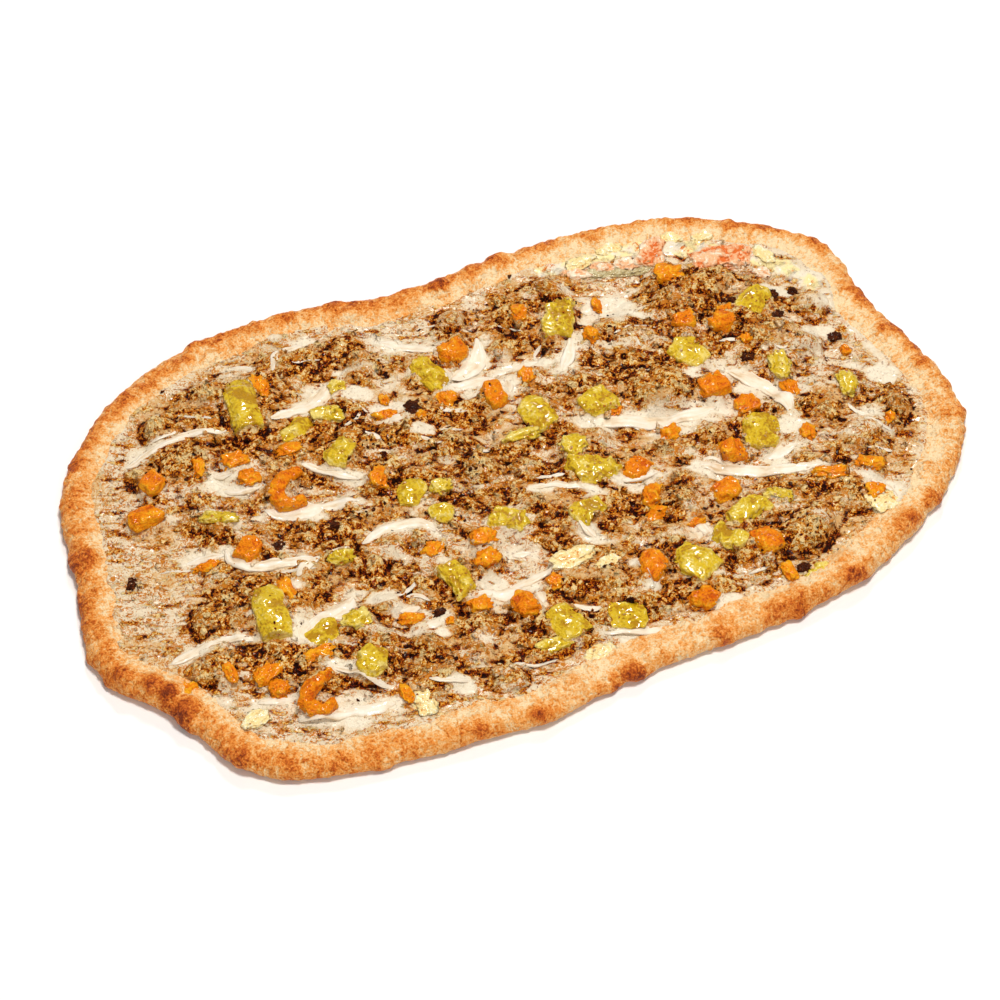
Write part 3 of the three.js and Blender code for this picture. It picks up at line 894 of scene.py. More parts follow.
def corner_values(mesh: bpy.types.Mesh, key: str) -> np.ndarray:
    """The places, under the key co, or the directions, under normal, of a mesh's corners.

    Args:
        mesh: The mesh.
        key: Which of the two is wanted.

    Returns:
        One row of three numbers for each corner.
    """
    flat = np.empty(len(mesh.vertices) * 3)
    mesh.vertices.foreach_get(key, flat)
    return flat.reshape(-1, 3)


def move_corners(mesh: bpy.types.Mesh, points: np.ndarray) -> None:
    """Sets the corners of a mesh, given in millimetres."""
    mesh.vertices.foreach_set("co", (points * MM).ravel())
    mesh.update()


def evaluated_copy(carrier: bpy.types.Object) -> bpy.types.Mesh:
    """A plain mesh of an object as its modifiers leave it; the object itself is removed.

    Args:
        carrier: The object.

    Returns:
        The new mesh.
    """
    graph = bpy.context.evaluated_depsgraph_get()
    mesh = bpy.data.meshes.new_from_object(carrier.evaluated_get(graph), depsgraph=graph)
    carrier.modifiers.clear()
    bpy.data.objects.remove(carrier)
    return mesh


def linked_object(name: str, mesh: bpy.types.Mesh) -> bpy.types.Object:
    """A bare object in the scene, for modifiers to work on.

    Args:
        name: Its name.
        mesh: Its mesh.

    Returns:
        The object.
    """
    thing = bpy.data.objects.new(name, mesh)
    bpy.context.scene.collection.objects.link(thing)
    return thing


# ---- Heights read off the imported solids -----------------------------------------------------


@dataclass
class Field:
    """A grid over the whole bread that holds heights and masks."""

    step: float = 0.45
    margin: float = 3.0

    def __post_init__(self) -> None:
        """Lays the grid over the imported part's box."""
        low = np.array(CAD_LOW[:2]) / MM - self.margin
        high = np.array(CAD_HIGH[:2]) / MM + self.margin
        self.low = low
        self.shape = tuple(int(n) for n in np.ceil((high - low) / self.step) + 1)
        xs, ys = (low[a] + self.step * np.arange(self.shape[a]) for a in (0, 1))
        self.points = np.stack(np.meshgrid(xs, ys, indexing="ij"), axis=-1).reshape(-1, 2)

    def top_of(self, pieces: list[bpy.types.Object], missing: float) -> np.ndarray:
        """Height of the upper side of some pieces or CAD nodes.

        Args:
            pieces: Their objects.
            missing: Value where none of them lies.

        Returns:
            A grid of heights in millimetres.
        """
        corners: list[Vector] = []
        faces: list[tuple[int, ...]] = []
        for piece in pieces:
            mesh = piece.data
            start = len(corners)
            corners += [v.co for v in mesh.vertices]
            faces += [tuple(start + i for i in p.vertices) for p in mesh.polygons]
        tree = BVHTree.FromPolygons(corners, faces)
        down = Vector((0, 0, -1))
        heights = np.full(len(self.points), missing)
        for i, (x, y) in enumerate(self.points):
            hit = tree.ray_cast(Vector((x * MM, y * MM, 0.1)), down)[0]
            if hit is not None:
                heights[i] = hit.z / MM
        return heights.reshape(self.shape)

    def mapped(self, make: Callable[..., np.ndarray], *settings: float) -> np.ndarray:
        """A function of points, such as a noise, over the whole grid and with its own settings."""
        return make(self.points, *settings).reshape(self.shape)

    def read(self, grid: np.ndarray, points: np.ndarray) -> np.ndarray:
        """The values of a grid at points of the plan.

        Args:
            grid: Values on this field's grid.
            points: Points of the plan, one in each row.

        Returns:
            One value for each point.
        """
        at = np.clip((points[:, :2] - self.low) / self.step, 0, np.array(self.shape) - 1.001)
        cell = at.astype(int)
        u, v = (at - cell).T
        i, j = cell.T
        low = grid[i, j] * (1 - u) + grid[i + 1, j] * u
        high = grid[i, j + 1] * (1 - u) + grid[i + 1, j + 1] * u
        return low * (1 - v) + high * v

    def sheet(
        self,
        name: str,
        heights: np.ndarray,
        inside: np.ndarray,
        bottom: float,
        material: bpy.types.Material,
        slot: str,
        numbers: dict[str, np.ndarray],
        every: int = 1,
    ) -> bpy.types.Object:
        """slot: Not used. The record's material slot.
            numbers: Grids of values that the mesh stores for each corner.
            every: Takes one grid point of so many.

        Returns:
            The piece.
        """
        wanted = inside[::every, ::every]
        cells = wanted[:-1, :-1] & wanted[1:, :-1] & wanted[:-1, 1:] & wanted[1:, 1:]
        quads = self.quads(every)[cells]
        used, compact = np.unique(quads, return_inverse=True)
        quads = compact.reshape(-1, 4)
        upper = np.column_stack([self.points[used], heights.ravel()[used]])
        ring = self._border(quads)
        lower = upper[ring].copy()
        lower[:, 2] = bottom
        start = len(upper)
        faces = [tuple(q) for q in quads.tolist()]
        for k, corner in enumerate(ring):
            after = (k + 1) % len(ring)
            faces.append((ring[after], corner, start + k, start + after))
        faces.append(tuple(start + k for k in reversed(range(len(ring)))))
        stored = {
            key: np.concatenate([grid.ravel()[used], grid.ravel()[used][ring]])
            for key, grid in numbers.items()
        }
        return solid_piece(name, np.vstack([upper, lower]), faces, material, stored)

    def quads(self, every: int = 1) -> np.ndarray:
        """The grid's faces, as numbers of their four corners, taking one point of so many."""
        number = np.arange(len(self.points)).reshape(self.shape)[::every, ::every]
        return np.stack([number[:-1, :-1], number[1:, :-1], number[1:, 1:], number[:-1, 1:]], axis=-1)

    @staticmethod
    def _border(quads: np.ndarray) -> list[int]:
        """The corners round the outside of a patch of faces, in order.

        Args:
            quads: The faces, as numbers of their four corners.

        Returns:
            The corners' numbers.
        """
        edges = {(a, b) for quad in quads.tolist() for a, b in zip(quad, quad[1:] + quad[:1])}
        after = {a: b for a, b in edges if (b, a) not in edges}
        ring = [next(iter(sorted(after)))]
        while after[ring[-1]] != ring[0]:
            ring.append(after[ring[-1]])
        return ring


# ---- The bread ------------------------------------------------------------------------------


@dataclass
class Crust:
    """The baked dough: a flat base with a raised rim, blistered on top and creased outside."""

    plan: Plan
    # The rim's section as (distance in from the edge, height, share of the swell).
    section: list[tuple[float, float, float]] = field(
        default_factory=lambda: [
            (5.5, 0, 0), (3.2, 0.1, 0), (1.6, 0.6, 0), (0.4, 1.5, 0.1), (0, 2.6, 0.2),
            (0.4, 4.2, 0.6), (2.0, 6.0, 1), (4.4, 6.7, 1), (7.4, 6.3, 0.8), (10.5, 5.5, 0.4),
            (13, 4.6, 0.1), (17, 3.2, 0),
        ]
    )
    section_steps: int = 58
    swell: float = 0.16
    blister_size: float = 8.5
    blister_height: float = 1.4
    crease_depth: float = 0.55

    def _rings(self) -> tuple[np.ndarray, np.ndarray, np.ndarray]:
        """The section drawn finely: its points, its shares of the swell and its outward normals.

        Returns:
            All three, with one row for each point.
        """
        smooth, _ = evenly(np.array(self.section, float), self.section_steps)
        for _ in range(3):
            smooth[1:-1] = (smooth[:-2] + 2 * smooth[1:-1] + smooth[2:]) / 4
        ahead = np.gradient(smooth[:, :2], axis=0)
        normals = np.stack([-ahead[:, 1], ahead[:, 0]], axis=1)
        normals /= np.linalg.norm(normals, axis=1, keepdims=True)
        return smooth[:, :2], smooth[:, 2], normals

    def _swell(self, turn: np.ndarray) -> np.ndarray:
        """How much higher or lower the rim stands round the bread, as a share of its height."""
        waves = 0.5 * np.sin(3 * turn + 3.6) + 0.3 * np.sin(7 * turn + 1) + 0.2 * np.sin(13 * turn)
        return self.swell * waves

    def build(self) -> bpy.types.Object:
        """Builds and dresses the crust.

        Returns:
            The piece.
        """
        section, shares, normals = self._rings()
        around, rings = self.plan.steps, len(section)
        turn = 2 * np.pi * np.arange(around) / around
        flat = self.plan.edge[None] + section[:, :1, None] * self.plan.inward[None]
        high = section[:, 1:] * (1 + shares[:, None] * self._swell(turn)[None])
        points = np.concatenate([flat, high[..., None]], axis=2).reshape(-1, 3)
        inside = np.repeat(section[:, 0], around)
        lift, blister = self._relief(points, inside, np.tile(turn, rings))
        direction = np.empty((rings, around, 3))
        direction[..., :2] = normals[:, :1, None] * self.plan.inward[None]
        direction[..., 2] = normals[:, 1:]
        lift = lift * np.repeat(ease(section[:, 1], 0.3, 2.0), around)
        points = points + direction.reshape(-1, 3) * lift[:, None]
        points[:, 2] = np.maximum(points[:, 2], 0)
        nearest = np.tile(self.plan.edge, (rings, 1))
        numbers = self._baking(points, inside, blister)
        numbers |= {"inside": inside, "edge_x": nearest[:, 0], "edge_y": nearest[:, 1]}
        faces, material = self._faces(rings, around), CrustFinish().material()
        piece = solid_piece("baked_crust", points, faces, material, numbers)
        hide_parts("crust")
        return piece

    @staticmethod
    def _baking(points: np.ndarray, inside: np.ndarray, blister: np.ndarray) -> dict[str, np.ndarray]:
        """How toasted and how brown the crust is, with painted light that makes its front and far right
        lighter.

        Args:
            points: Its points.
            inside: Their distances in from the edge.
            blister: The blisters' shares in the relief there.

        Returns:
            Both values for each point, by the names that its finish reads.
        """
        drift = rough_hills(points, 15, 3)
        pale = painted_light_at_right(points)
        # Painted light: the rim's front and its far right get less toast and a narrower toasted band, so
        # they read as lit more.
        lit_front = ease(points[:, 1] - 0.25 * points[:, 0], -62, -82)
        reach = 11 - 2.5 * pale - 3.5 * lit_front
        toast = 0.42 + 0.62 * ease((inside + 2.4 * drift) / reach, 1.0, 0.35) * (1 + 0.4 * drift)
        toast = np.maximum(toast, 0.55 - 0.25 * pale)
        toast *= 1 - 0.12 * pale - 0.3 * lit_front * ease(inside, 7, 3) - 0.15 * lit_front * ease(inside, 6, 9)
        toast[points[:, 2] < 0.05] = 0.9
        outer = ease(inside, 6, 1.5) * ease(points[:, 2], 1.5, 5)
        spots = ease(rough_hills(points, 17, 9), 0.05, 0.7)
        return {"toast": toast, "brown": 0.7 * blister * ease(inside, 10, 6) + 0.6 * outer * spots}

    def _relief(
        self, points: np.ndarray, inside: np.ndarray, turn: np.ndarray
    ) -> tuple[np.ndarray, np.ndarray]:
        """How far the surface stands proud of the plain section.

        Args:
            points: The plain section's points.
            inside: Their distances in from the edge.
            turn: Their angles round the bread.

        Returns:
            The relief in millimetres and the blisters' shares in it.
        """
        blister = blisters(points + 0.6 * points[:, 2:3], self.blister_size, 5)
        travelled = turn / (2 * np.pi) * self.plan.length
        band = np.stack([travelled / 2.8 + 0.8 * hills(points, 9, 8), inside / 7], axis=1)
        crease = 1 - np.abs(hills(band, 1.0, 21))
        back = ease(inside, 13, 8)
        relief = self.blister_height * blister * back
        relief -= self.crease_depth * crease**3 * back * (0.6 + 0.6 * hills(points, 30, 12))
        relief += 0.6 * rough_hills(points, 4.2, 2) + 0.4 * rough_hills(points, 1.9, 6, 2)
        return relief, blister

    @staticmethod
    def _faces(rings: int, around: int) -> list[tuple[int, ...]]:
        """The faces between the rings, and one face across each end of the section.

        Args:
            rings: Number of rings.
            around: Points in each ring.

        Returns:
            The faces, as corner numbers.
        """
        faces = []
        for ring in range(rings - 1):
            low, high = ring * around, (ring + 1) * around
            for k in range(around):
                after = (k + 1) % around
                faces.append((low + k, low + after, high + after, high + k))
        faces.append(tuple(reversed(range(around))))
        faces.append(tuple((rings - 1) * around + k for k in range(around)))
        return faces


@dataclass
class Layers:
    """The cream and the bed of mince, as heights over the whole bread."""

    plan: Plan
    grid: Field
    strips: list[tuple[float, Path]]
    cream_inset: float = 9.0
    cream_foot: float = 3.3
    bed_inset: float = 13.0
    bed_foot: float = 3.5
    # The rim's inner side: distances in from the edge, and heights there.
    rim_slope: tuple[tuple[float, ...], ...] = ((7.4, 10.5, 13, 17, 21), (6.3, 5.5, 4.9, 4.6, 4.2))
    # Smooth pools of cream, each as its middle and its reach.
    pools: list[tuple[float, float, float]] = field(
        default_factory=lambda: [
            (61, 49, 11), (82, -34, 7), (87, 0, 5), (10, 49, 6), (60, -5, 6), (-50, 50, 5),
            (-74, -34, 5), (-65, 7, 7), (-83, -73, 7), (132, -13, 6), (33, 31, 5), (92, -21, 5),
            (120, 13, 6), (36, -25, 6), (73, 13, 5), (-33, 50, 5), (42, -78, 6), (-25, 40, 5),
            (-50, -43, 5), (-58, -34, 4), (-22, -42, 5), (3, 35, 4), (-46, -54, 5), (-19, 25, 4),
            (-40, -10, 5), (108, -59, 6), (8, -78, 5), (-48, -76, 5), (-88, 30, 5), (115, 35, 5),
        ]
    )
    # The band of cheese inside the far rim, as its width and the points of its middle line.
    cheese_band: tuple[float, Path] = (
        6.5, [(48, 76), (60, 76), (74, 75), (88, 70), (101, 64), (113, 56), (122, 45), (128, 34)],
    )

    def __post_init__(self) -> None:
        """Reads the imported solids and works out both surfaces."""
        self.inside = self.plan.inset(self.grid.points).reshape(self.grid.shape)
        cad_bed = self.grid.top_of([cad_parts["mince"]], 0.0)
        self.has_bed = blurred((cad_bed > 0).astype(float), 3.7)
        self.near = self._along(self.strips, 0.75, 0.8)
        wide = self._along([self.cheese_band], 0.5, 1.0)
        self.cheese = wide * (0.75 + 0.45 * self.grid.mapped(rough_hills, 4.5, 45))
        self.cream = self._cream_surface()
        self.level = blurred(np.where(cad_bed > 0, cad_bed, self.cream - 1.0), 5.0)
        self.creamy = self._creaminess(self.level - self.cream)

    def settle(self, pieces: list[bpy.types.Object]) -> None:
        """Works out the mince's surface round the pieces that lie in it.

        Args:
            pieces: The toppings and bits.
        """
        self.covered = self.grid.top_of(pieces, 0.0)
        self.bed = self._bed_surface(self.level)

    def _cream_surface(self) -> np.ndarray:
        """Height of the cream, which thins out unevenly on the rim.

        Returns:
            A grid of heights.
        """
        base = blurred(self.grid.top_of([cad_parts["cream"]], 4.9), 8.0)
        wave = self.grid.mapped(rough_hills, 16, 41)
        fine = self.grid.mapped(rough_hills, 3.2, 43)
        inner = base + 0.35 * wave + 0.3 * fine + 1.2 * self.cheese
        slope = np.interp(self.inside, *self.rim_slope)
        smear = slope + 0.3 + 0.4 * fine - 2.4 * ease(self.inside + 3.5 * wave, 12.5, 9.5)
        smear = smear + self.cheese * (0.7 + 1.5 * self.grid.mapped(blisters, 5, 46))
        return np.where(self.inside < 21, np.maximum(smear, inner - 3 * (self.inside < 12)), inner)

    def _creaminess(self, high: np.ndarray) -> np.ndarray:
        """How far cream covers the mince, from 0 to 1.

        Args:
            high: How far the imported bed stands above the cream.

        Returns:
            The share of cream at each grid point.
        """
        along, across = turned(self.grid.points, -FLOW_TURN).T
        flow = np.stack([along / 2.4, across + 4.5 * hills(self.grid.points, 19, 91)], axis=1)
        streak = rough_hills(flow, 5.5, 92) + 0.6 * rough_hills(flow, 2.8, 93)
        streak = streak.reshape(self.inside.shape)
        share = 0.54 + 0.48 * streak - 0.1 * ease(high, 2.0, 4.0)
        share = share + 0.5 * self.near
        # Painted light: cream near the rim covers more towards the far right, so that side reads lighter.
        pale = self.grid.mapped(painted_light_at_right)
        share = np.maximum(share, (0.6 + 0.3 * pale) * ease(self.inside, 20, 14) + 0.3 * streak)
        share = np.maximum(share, (0.8 + 0.2 * pale) * ease(self.inside, 13.5, 9.5))
        share = np.maximum(share, 0.75 * ease(high, 0.4, -0.3))
        self.pool = self._pools(along, across)
        return np.clip(np.maximum(share, 1.15 * self.pool), 0, 1.2)

    def _pools(self, along: np.ndarray, across: np.ndarray) -> np.ndarray:
        """1 in the middle of a pool of cream and 0 outside, over the grid.

        Args:
            along: Each grid point's place along the flow.
            across: Its place across the flow.

        Returns:
            A grid of shares.
        """
        share = np.zeros(len(self.grid.points))
        ragged = 0.5 * rough_hills(self.grid.points, 8, 95)
        for x, y, reach in self.pools:
            a, b = turned(np.array([x, y]), -FLOW_TURN)
            away = np.hypot((along - a) / 1.5, across - b) / reach
            share = np.maximum(share, ease(away + ragged, 1.2, 0.3))
        return share.reshape(self.grid.shape)

    def _along(self, lines: list[tuple[float, Path]], share: float, extra: float) -> np.ndarray:
        """1 on some lines and less with the distance from them.

        Args:
            lines: Each line's width and points.
            share: Reach of the fall as a share of the width.
            extra: What is added to the reach, in millimetres.

        Returns:
            A grid of values.
        """
        near = np.zeros(len(self.grid.points))
        for width, line in lines:
            reach = share * width + extra
            for start, end in zip(line, line[1:]):
                a, b = np.array(start, float), np.array(end, float)
                low, high = np.minimum(a, b) - 3 * reach, np.maximum(a, b) + 3 * reach
                rows = np.all((self.grid.points > low) & (self.grid.points < high), axis=1)
                part = self.grid.points[rows]
                place = np.clip((part - a) @ (b - a) / ((b - a) @ (b - a)), 0, 1)
                away = np.linalg.norm(part - a - place[:, None] * (b - a), axis=1)
                near[rows] = np.maximum(near[rows], np.exp(-((away / reach) ** 2)))
        return near.reshape(self.grid.shape)

    def _bed_surface(self, level: np.ndarray) -> np.ndarray:
        """Height of the mince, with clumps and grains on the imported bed.

        Args:
            level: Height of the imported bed, smoothed.

        Returns:
            A grid of heights.
        """
        points = self.grid.points
        stir = np.stack([hills(points, 3.5, 53), hills(points, 3.5, 57)], axis=1)
        clump, _ = pebbles(points + 2.2 * stir, 12, 51)
        lump, _ = pebbles(points + 1.4 * stir, 5.2, 55)
        grain, owner = pebbles(points + 0.8 * stir, 2.3, 52)
        crumbs = 1.7 * (clump - 0.45) + 1.2 * (lump - 0.45)
        crumbs += 0.8 * (grain * (0.35 + 0.65 * owner) - 0.3)
        crumbs = crumbs.reshape(self.grid.shape) + 0.4 * self.grid.mapped(rough_hills, 1.7, 54, 2)
        film = 0.4 * self.grid.mapped(rough_hills, 6, 58) + 0.22 * self.grid.mapped(rough_hills, 2, 59, 2)
        smooth = ease(self.creamy, 0.45, 0.95)
        relief = crumbs * (1 - 0.55 * smooth) * (1 - 0.85 * self.pool) + film * smooth
        on_bed = ease(self.has_bed, 0.2, 0.7)
        bed = level + (relief + 0.55 * self.near) * on_bed
        under = self.covered > 0
        excess = np.where(under, np.maximum(self.covered - level, 0), 0)
        beside = blurred(under.astype(float), 5.0)
        mean_excess = blurred(excess, 5.0) / np.maximum(beside, 0.05)
        bed = bed + 0.9 * mean_excess * beside * (1 + 0.7 * self.grid.mapped(rough_hills, 3, 60))
        lap = ease(blurred(under.astype(float), 3.0), 0.9, 0.55)
        lap *= ease(self.grid.mapped(rough_hills, 3.4, 63), -0.1, 0.4)
        return np.where(under, np.minimum(bed, self.covered - 0.7 + 1.7 * lap), bed)

    def base(self) -> np.ndarray:
        """Height of the plain ground that bits lie on."""
        return blurred(np.maximum(self.cream, self.level), 2.2)

    def top(self) -> np.ndarray:
        """Height of whatever shows, cream or mince."""
        return np.maximum(self.cream, self.bed)

    def tone(self) -> np.ndarray:
        """How dark the mince is: painted light on what stands up and painted shade in what lies deep, with
        random patches.

        Returns:
            A grid of shades, about 0.5.
        """
        top = self.top()
        # Painted shade in the hollows and painted light on what stands up; the patches are random tone.
        hollow = 0.9 * (top - blurred(top, 2.2)) + 0.24 * np.clip(top - blurred(top, 6), -1, 1)
        patches = 0.5 * self.grid.mapped(rough_hills, 24, 71) + self.grid.mapped(rough_hills, 6, 72)
        return 0.5 - hollow + 0.09 * patches

    def meat(self) -> np.ndarray:
        """How thickly loose grains lie at each grid point, from 0 to 1.

        Returns:
            A grid of shares.
        """
        ragged = 0.25 * self.grid.mapped(rough_hills, 6, 61)
        on_bed = ease(self.has_bed + ragged, 0.3, 0.75) * (1 - 0.9 * ease(self.creamy, 0.5, 0.8))
        stray = 0.2 * ease(self.inside, 12, 16) * (1 + self.grid.mapped(rough_hills, 9, 62))
        return np.maximum(on_bed, stray) * (1 - self.pool) * (1 - ease(self.cheese, 0.3, 0.6))

    def build(self) -> None:
        """Builds and dresses both layers."""
        self.material = BedFinish().material()
        self.shades = {"tone": self.tone(), "cream": self.creamy, "cheese": self.cheese}
        cream = self.grid.sheet(
            "baked_cream", self.cream, self.inside > self.cream_inset, self.cream_foot, self.material,
            "cream", self.shades, 2,
        )
        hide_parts("cream")
        on_bed = self.inside > self.bed_inset
        left = self.grid.points[:, 0].reshape(self.grid.shape)
        middle = self.grid.low[0] + self.grid.step * round(-self.grid.low[0] / self.grid.step)
        halves = {"mince_bed_left": left <= middle + 0.01, "mince_bed_right": left >= middle - 0.01}
        for name, half in halves.items():
            bed = self.grid.sheet(
                name, self.bed, on_bed & half, self.bed_foot, self.material, "mince", self.shades
            )
            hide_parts("mince")


# ---- Geometry Nodes -------------------------------------------------------------------------


class GeometryTree(NodeBook):
    """Geometry Nodes that make a new mesh out of a carrier's mesh."""

    def __init__(self, name: str, inputs: dict[str, str]) -> None:
        """Starts a tree.

        Args:
            name: The tree's name.
            inputs: Its inputs' names and kinds, the carrier's geometry first.
        """
        super().__init__(bpy.data.node_groups.new(name, "GeometryNodeTree"))
        face = self.tree.interface
        self.identifier = {
            key: face.new_socket(key, in_out="INPUT", socket_type="NodeSocket" + kind).identifier
            for key, kind in inputs.items()
        }
        face.new_socket("Result", in_out="OUTPUT", socket_type="NodeSocketGeometry")
        self.given = self.add("NodeGroupInput").outputs

    def named(self, name: str) -> bpy.types.NodeSocket:
        """A number that the carrier's mesh stores."""
        node = self.add("GeometryNodeInputNamedAttribute", {"data_type": "FLOAT"}, {"Name": name})
        return node.outputs["Attribute"]

    def marked(self, geometry: object, domain: str, name: str, value: object) -> bpy.types.NodeSocket:
        """Stores a number on a geometry.

        Args:
            geometry: The geometry.
            domain: What of it carries the number.
            name: The number's name.
            value: The number.

        Returns:
            The marked geometry.
        """
        settings = {"data_type": "FLOAT", "domain": domain}
        values = {"Geometry": geometry, "Name": name, "Value": value}
        return self.add("GeometryNodeStoreNamedAttribute", settings, values).outputs[0]

    def wobble(self, scale: object, reach: object) -> bpy.types.NodeSocket:
        """An offset by noise.

        Args:
            scale: The noise's scale.
            reach: How far points move.

        Returns:
            The offset of each point.
        """
        place = self.add("GeometryNodeInputPosition").outputs[0]
        noise = self.add("ShaderNodeTexNoise", None, {"Vector": place, "Scale": scale, "Detail": 2.0})
        centred = self.vector("SUBTRACT", {0: noise.outputs["Color"], 1: (0.5, 0.5, 0.5)})
        return self.vector("SCALE", {0: centred, "Scale": reach})

    def finish(self, geometry: object, offset: object, material: bpy.types.Material) -> None:
        """Makes a geometry real, moves its points, gives it its finish and hands it out.

        Args:
            geometry: The geometry.
            offset: How each of its points moves.
            material: Its finish.
        """
        real = self.add("GeometryNodeRealizeInstances", None, {"Geometry": geometry}).outputs[0]
        moved = self.add("GeometryNodeSetPosition", None, {"Geometry": real, "Offset": offset}).outputs[0]
        final = self.add("GeometryNodeSetMaterial", None, {"Geometry": moved, "Material": material})
        self.add("NodeGroupOutput", None, {"Result": final.outputs[0]})

    def run(self, mesh: bpy.types.Mesh, values: dict[str, float]) -> bpy.types.Mesh:
        """Runs the tree once.

        Args:
            mesh: The carrier's mesh.
            values: Values of the tree's inputs, by name.

        Returns:
            The new mesh.
        """
        carrier = linked_object("Carrier", mesh)
        modifier = carrier.modifiers.new("Tree", "NODES")
        modifier.node_group = self.tree
        for key, value in values.items():
            modifier[self.identifier[key]] = value
        made = evaluated_copy(carrier)
        bpy.data.node_groups.remove(self.tree)
        return made


# ---- Grains strewn over the bed -------------------------------------------------------------


@dataclass
class GrainSize:
    """One size of grain to strew."""

    name: str
    spacing: float
    smallest: float
    largest: float
    detail: int
    lift: float
    seed: int
    # How far a grain's painted hollow shade and tone may change, palest and darkest.
    tone: tuple[float, float]


@dataclass
class Grains:
    """Loose grains of mince and charred flecks, strewn over the bed by Geometry Nodes."""

    layers: Layers
    sizes: list[GrainSize] = field(
        default_factory=lambda: [
            GrainSize("coarse_crumbs", 7.5, 2.0, 3.4, 2, -0.15, 3, (-0.1, 0.1)),
            GrainSize("middle_crumbs", 3.6, 1.0, 1.9, 2, -0.05, 4, (-0.15, 0.15)),
            GrainSize("fine_crumbs", 1.9, 0.5, 1.1, 1, 0.1, 5, (-0.2, 0.3)),
        ]
    )

    def build(self) -> None:
        """Builds every size of grain."""
        grid = self.layers.grid
        meat = self.layers.meat()
        bare = 1 - blurred((self.layers.covered > self.layers.top()).astype(float), 1.6)
        density = meat * ease(bare, 0.25, 0.7)
        for size in self.sizes:
            self._strew(size, density, self.layers.material)
        on_top = ease(self.layers.covered - self.layers.top(), 0.2, 0.6)
        on_top *= 0.55 * ease(grid.mapped(rough_hills, 5, 83), 0.1, 0.5)
        crumbs = GrainSize("crumbs_on_toppings", 1.6, 0.5, 1.2, 1, 0.0, 12, (-0.2, 0.3))
        self._strew(crumbs, on_top, self.layers.material)
        places = ease(grid.mapped(rough_hills, 11, 81), 0.35, 0.7)
        flecks = np.maximum(density, 0.15) * ease(bare, 0.25, 0.7) * places
        fleck = GrainSize("charred_flecks", 1.7, 0.5, 1.5, 1, 0.1, 9, (0.0, 1.0))
        self._strew(fleck, flecks, Finish.CHAR.value.material())

    def _strew(self, size: GrainSize, density: np.ndarray, material: bpy.types.Material) -> None:
        """Strews one size of grain over the visible ground.

        Args:
            size: The grains' sizes and seed.
            density: How thickly they lie, from 0 to 1, over the grid.
            material: Their finish.
        """
        values = {
            "Spacing": size.spacing * MM, "Smallest": size.smallest * MM / 2,
            "Largest": size.largest * MM / 2, "Detail": size.detail,
            "Lift": size.lift * size.smallest * MM, "Seed": size.seed,
            "Palest": size.tone[0], "Darkest": size.tone[1],
        }
        dressed(size.name, GrainTree(material).run(self._ground_mesh(density), values), material)

    def _ground_mesh(self, density: np.ndarray) -> bpy.types.Mesh:
        """An open surface over the grid that stores the density, for strewing on.

        Args:
            density: How thickly grains lie, from 0 to 1, over the grid.

        Returns:
            The mesh.
        """
        grid = self.layers.grid
        heights = np.maximum(self.layers.top(), self.layers.covered)
        wanted = (density[:-1, :-1] > 0.02) & (self.layers.inside[:-1, :-1] > 12)
        points = np.column_stack([grid.points, heights.ravel()]) * MM
        mesh = bpy.data.meshes.new("Ground")
        mesh.from_pydata(points.tolist(), [], grid.quads()[wanted].tolist())
        store(mesh, "density", density.ravel())
        for key, values in self.layers.shades.items():
            store(mesh, key, values.ravel())
        return mesh


class GrainTree(GeometryTree):
    """Strews uneven grains over a surface."""

    def __init__(self, material: bpy.types.Material) -> None:
        """Builds the tree for grains of one finish.

        Args:
            material: The finish.
        """
        numbers = dict.fromkeys(("Spacing", "Smallest", "Largest", "Lift", "Palest", "Darkest"), "Float")
        super().__init__("Strewn grains", {"Ground": "Geometry", "Detail": "Int", "Seed": "Int"} | numbers)
        given = self.given
        ground = {
            "Mesh": given["Ground"], "Distance Min": given["Spacing"], "Density Max": 1e6,
            "Density Factor": self.named("density"), "Seed": given["Seed"],
        }
        spread = self.add("GeometryNodeDistributePointsOnFaces", {"distribute_method": "POISSON"}, ground)
        ball = {"Radius": 1.0, "Subdivisions": given["Detail"]}
        girth = self._number(given["Smallest"], given["Largest"], 1)
        squash = self._triple((0.75, 0.75, 0.6), (1.25, 1.0, 0.85), 2)
        grains = {
            "Points": spread.outputs["Points"],
            "Instance": self.add("GeometryNodeMeshIcoSphere", None, ball).outputs["Mesh"],
            "Rotation": self._triple((-0.6, -0.6, 0.0), (0.6, 0.6, 6.28), 3),
            "Scale": self.vector("SCALE", {0: squash, "Scale": girth}),
        }
        placed = self.add("GeometryNodeInstanceOnPoints", None, grains).outputs[0]
        change = self._number(given["Palest"], given["Darkest"], 4)
        # Each grain takes the ground's painted hollow shade, changed a little at random.
        tone = Sock(self, self.named("tone")) + Sock(self, change)
        dents = self.wobble(0.7 / MM, Sock(self, given["Largest"]) * 3.4)
        up = self.add("ShaderNodeCombineXYZ", None, {"Z": given["Lift"]}).outputs[0]
        self.finish(
            self.marked(placed, "INSTANCE", "tone", tone), self.vector("ADD", {0: dents, 1: up}), material
        )

    def _number(
        self, low: bpy.types.NodeSocket, high: bpy.types.NodeSocket, extra: int
    ) -> bpy.types.NodeSocket:
        """A random number for each point.

        Args:
            low: The least value.
            high: The largest value.
            extra: Sets these numbers apart from the others of the tree.

        Returns:
            The numbers.
        """
        node = self.add("FunctionNodeRandomValue", {"data_type": "FLOAT"})
        floats = [socket for socket in node.inputs if socket.type == "VALUE"]
        self.feed(floats[0], low)
        self.feed(floats[1], high)
        self.feed(node.inputs["Seed"], Sock(self, self.given["Seed"]) + 17.0 * extra)
        return next(out for out in node.outputs if out.type == "VALUE" and out.enabled)

    def _triple(self, low: Triple, high: Triple, seed: int) -> bpy.types.NodeSocket:
        """Three random numbers for each point, between two triples."""
        values = {0: low, 1: high, "Seed": seed}
        return self.add("FunctionNodeRandomValue", {"data_type": "FLOAT_VECTOR"}, values).outputs[0]


